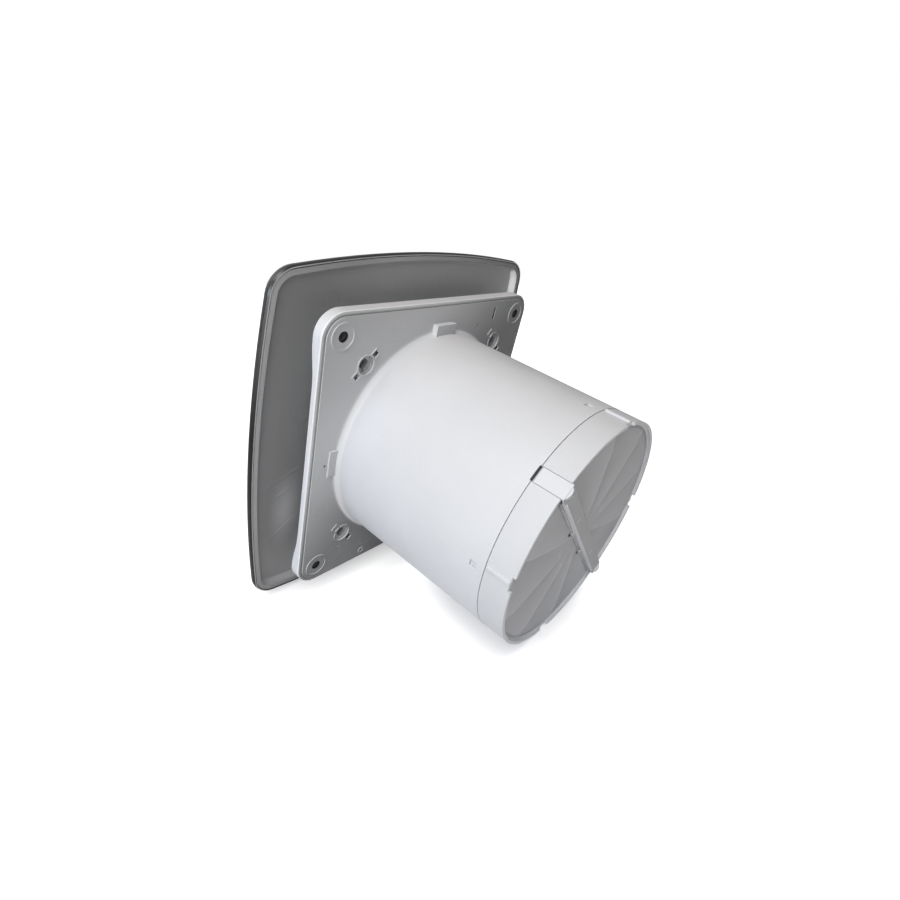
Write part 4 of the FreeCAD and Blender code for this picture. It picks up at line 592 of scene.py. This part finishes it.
def film_flap(name, body, side):
    """Half-round milky film with moulded creases, and the hinge rod along its straight edge."""
    out = ACROSS * side
    bm = bmesh.new()
    radii = [0.5 * MM, 4 * MM, 7 * MM] + [(10 + 4 * i) * MM for i in range(15)] + [68.5 * MM, 70.9 * MM]
    start = 45 if side > 0 else 225
    rows = []
    for radius in radii:
        row = []
        for step in range(61):
            angle = start + 3 * step
            place = Vector((math.cos(math.radians(angle)), 0, math.sin(math.radians(angle)))) * radius
            level = FILM_LEVEL - 0.15 * MM + film_height(radius, angle, place.dot(out))
            row.append(bm.verts.new(place + Vector((0, level, 0))))
        rows.append(row)
    for low, high in zip(rows, rows[1:]):
        for i in range(60):
            bm.faces.new((low[i], low[i + 1], high[i + 1], high[i]))
    for row_low, row_high in zip(rows, rows[1:]):
        for i in range(61):
            if (start + 3 * i - GORE_START) % GORE_ANGLE == 0:
                bm.edges.get((row_low[i], row_high[i])).smooth = False
    bmesh.ops.bisect_plane(bm, geom=everything(bm), plane_co=out * FILM_EDGE * MM, plane_no=out,
                           clear_inner=True)
    bmesh.ops.bisect_plane(bm, geom=everything(bm), plane_co=out * NOTCH_DEPTH * MM, plane_no=out)
    for place in (-NOTCH_FAR, -NOTCH_NEAR, NOTCH_NEAR, NOTCH_FAR):
        bmesh.ops.bisect_plane(bm, geom=everything(bm), plane_co=ALONG * place * MM, plane_no=ALONG)
    notch = []
    for face in bm.faces:
        middle = face.calc_center_median()
        along, across = abs(middle.dot(ALONG)), middle.dot(out)
        if across < NOTCH_DEPTH * MM and NOTCH_NEAR * MM < along < NOTCH_FAR * MM:
            notch.append(face)
    bmesh.ops.delete(bm, geom=notch, context="FACES")
    bmesh.ops.solidify(bm, geom=bm.faces[:], thickness=FILM_THICK * MM)
    turn = Matrix((ALONG.cross(Vector((0, 1, 0))), Vector((0, 1, 0)), ALONG)).transposed().to_4x4()
    place = Matrix.Translation(out * ROD_PLACE * MM + Vector((0, FILM_LEVEL, 0)))
    bmesh.ops.create_cone(bm, cap_ends=True, segments=20, radius1=ROD_RADIUS * MM,
                          radius2=ROD_RADIUS * MM, depth=ROD_LENGTH * MM, matrix=place @ turn)
    piece = finish_piece(name, bm, FILM, body)
    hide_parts(name.replace("film_", "flap_"))


def ring_ribs():
    """Four ribs along the outside of the valve ring, each beside a notch in its rim."""
    bm = bmesh.new()
    for quarter in range(4):
        angle = math.radians(90 * quarter + 3.3)
        out = Vector((math.cos(angle), 0, math.sin(angle)))
        side = Vector((-math.sin(angle), 0, math.cos(angle)))
        middle = out * (RING_RADIUS + 0.15 * MM) + Vector((0, 124.4 * MM, 0))
        rounded_box(bm, middle, (out, Vector((0, 1, 0)), side),
                    (1.0 * MM, 7.3 * MM, 0.9 * MM), 0.3 * MM)
    finish_piece("ring_ribs", bm, WHITE_PLASTIC, "root")


def bridge_lip():
    """A raised lip along one edge of the bridge."""
    bm = bmesh.new()
    middle = ACROSS * -4.05 * MM + Vector((0, 135.0 * MM, 0))
    rounded_box(bm, middle, (ALONG, Vector((0, 1, 0)), ALONG.cross(Vector((0, 1, 0)))),
                (66 * MM, 0.35 * MM, 0.55 * MM), 0.2 * MM)
    skirt = ACROSS * -4.35 * MM + Vector((0, 133.7 * MM, 0))
    rounded_box(bm, skirt, (ALONG, Vector((0, 1, 0)), ALONG.cross(Vector((0, 1, 0)))),
                (66 * MM, 1.25 * MM, 0.3 * MM), 0.15 * MM)
    finish_piece("bridge_lip", bm, WHITE_PLASTIC, "root")


def mould_marks():
    """Ejector marks on the inside of the cover and on the back of the tray, and cover stiffeners."""
    bm = bmesh.new()
    for x, z in COVER_MARKS:
        round_ridge(bm, Vector((x * MM, COVER_FLOOR, z * MM)), 5.2 * MM, 0.4 * MM, 0.12 * MM)
    for start, end in COVER_LINES:
        a = Vector((start[0] * MM, COVER_FLOOR, start[1] * MM))
        b = Vector((end[0] * MM, COVER_FLOOR, end[1] * MM))
        run = (b - a).normalized()
        rounded_box(bm, (a + b) / 2, (run, Vector((0, 1, 0)), run.cross(Vector((0, 1, 0)))),
                    ((b - a).length / 2, 0.22 * MM, 0.3 * MM), 0.12 * MM)
    finish_piece("cover_mould_marks", bm, GREY_PLASTIC, "front_cover")
    bm = bmesh.new()
    for x, z in TRAY_MARKS:
        round_ridge(bm, Vector((x * MM, 0, z * MM)), 6.0 * MM, 0.35 * MM, 0.08 * MM)
    finish_piece("tray_mould_marks", bm, TRAY_PLASTIC, "root")


# ---------------------------------------------------------------- finishes

WHITE_PLASTIC = moulded("white_plastic", linear(236, 238, 241), 0.45)
# The valve ring is the white plastic a little darker: painted shade.
RING_PLASTIC = moulded("ring_plastic", linear(231, 233, 236), 0.45)
TRAY_PLASTIC = moulded("tray_plastic", linear(236, 238, 241), 0.45, tone=tray_painted_shade)
VALVE_PLASTIC = moulded("valve_plastic", linear(236, 238, 241), 0.45, tone=bridge_painted_shade)
GREY_PLASTIC = moulded("grey_plastic", linear(174, 175, 177), 0.40, 0.012, gloss=0.4, tone=cover_painted_light)
STEEL = brushed("brushed_steel", linear(198, 198, 197))
IMPELLER_PLASTIC = moulded("impeller_plastic", linear(225, 227, 230), 0.4)
IVORY = moulded("terminal_plastic", linear(232, 228, 214), 0.3)
RUBBER = moulded("black_rubber", linear(34, 34, 35), 0.7, 0.08, 0.03)
ZINC = metal("zinc_steel", linear(186, 188, 192), 0.35)
BRIGHT = metal("bearing_steel", linear(200, 200, 204), 0.2)
CORE = metal("core_steel", linear(110, 110, 116), 0.45, (1.0, 60.0, 1.0), 120.0, 0.05)
COPPER = metal("copper_wire", linear(196, 118, 66), 0.3, (1.0, 1.0, 1.0), 900.0, 0.1)
BLUE = moulded("lead_insulation", linear(44, 92, 170), 0.35)
SCREW = metal("screw_steel", linear(196, 197, 200), 0.25)
FILM = moulded("flap_film", linear(189, 191, 195), 0.36, edge=0.1, tone=film_painted_shading)

FINISHES = {
    "housing": TRAY_PLASTIC, "terminal_cover": WHITE_PLASTIC, "fan_cassette": WHITE_PLASTIC,
    "valve_ring": RING_PLASTIC, "valve_bridge": VALVE_PLASTIC, "impeller": IMPELLER_PLASTIC,
    "terminal_block": IVORY, "cable_clamp": IVORY, "cable_grommet": RUBBER, "damper_rings": RUBBER,
    "motor_can": ZINC, "motor_end_bell": ZINC, "front_bearing": BRIGHT, "rear_bearing": BRIGHT,
    "motor_shaft": BRIGHT, "stator_core": CORE, "motor_rotor": CORE, "stator_winding": COPPER,
    "motor_leads": BLUE, "terminal_screws": SCREW, "terminal_cover_screw": SCREW,
    "cable_clamp_screws": SCREW, "cassette_screws": SCREW, "motor_screws": SCREW,
    "impeller_nut": SCREW, "flap_upper": FILM, "flap_lower": FILM, "cover_skin": STEEL,
    "cover_backing": GREY_PLASTIC,
}
for node_name, finish in FINISHES.items():
    paint(node_name, finish)
film_flap("film_upper", "flap_upper_body", 1)
film_flap("film_lower", "flap_lower_body", -1)
ring_ribs()
bridge_lip()
mould_marks()

bpy.context.scene.view_settings.view_transform = "Standard"
studio_world()
pale_floor()
soft_box("key", (0.35, 0.2, 0.35), (0, 0.03, 0), 0.25, 0.74, (1.0, 0.985, 0.92, 1.0))
photo_camera()
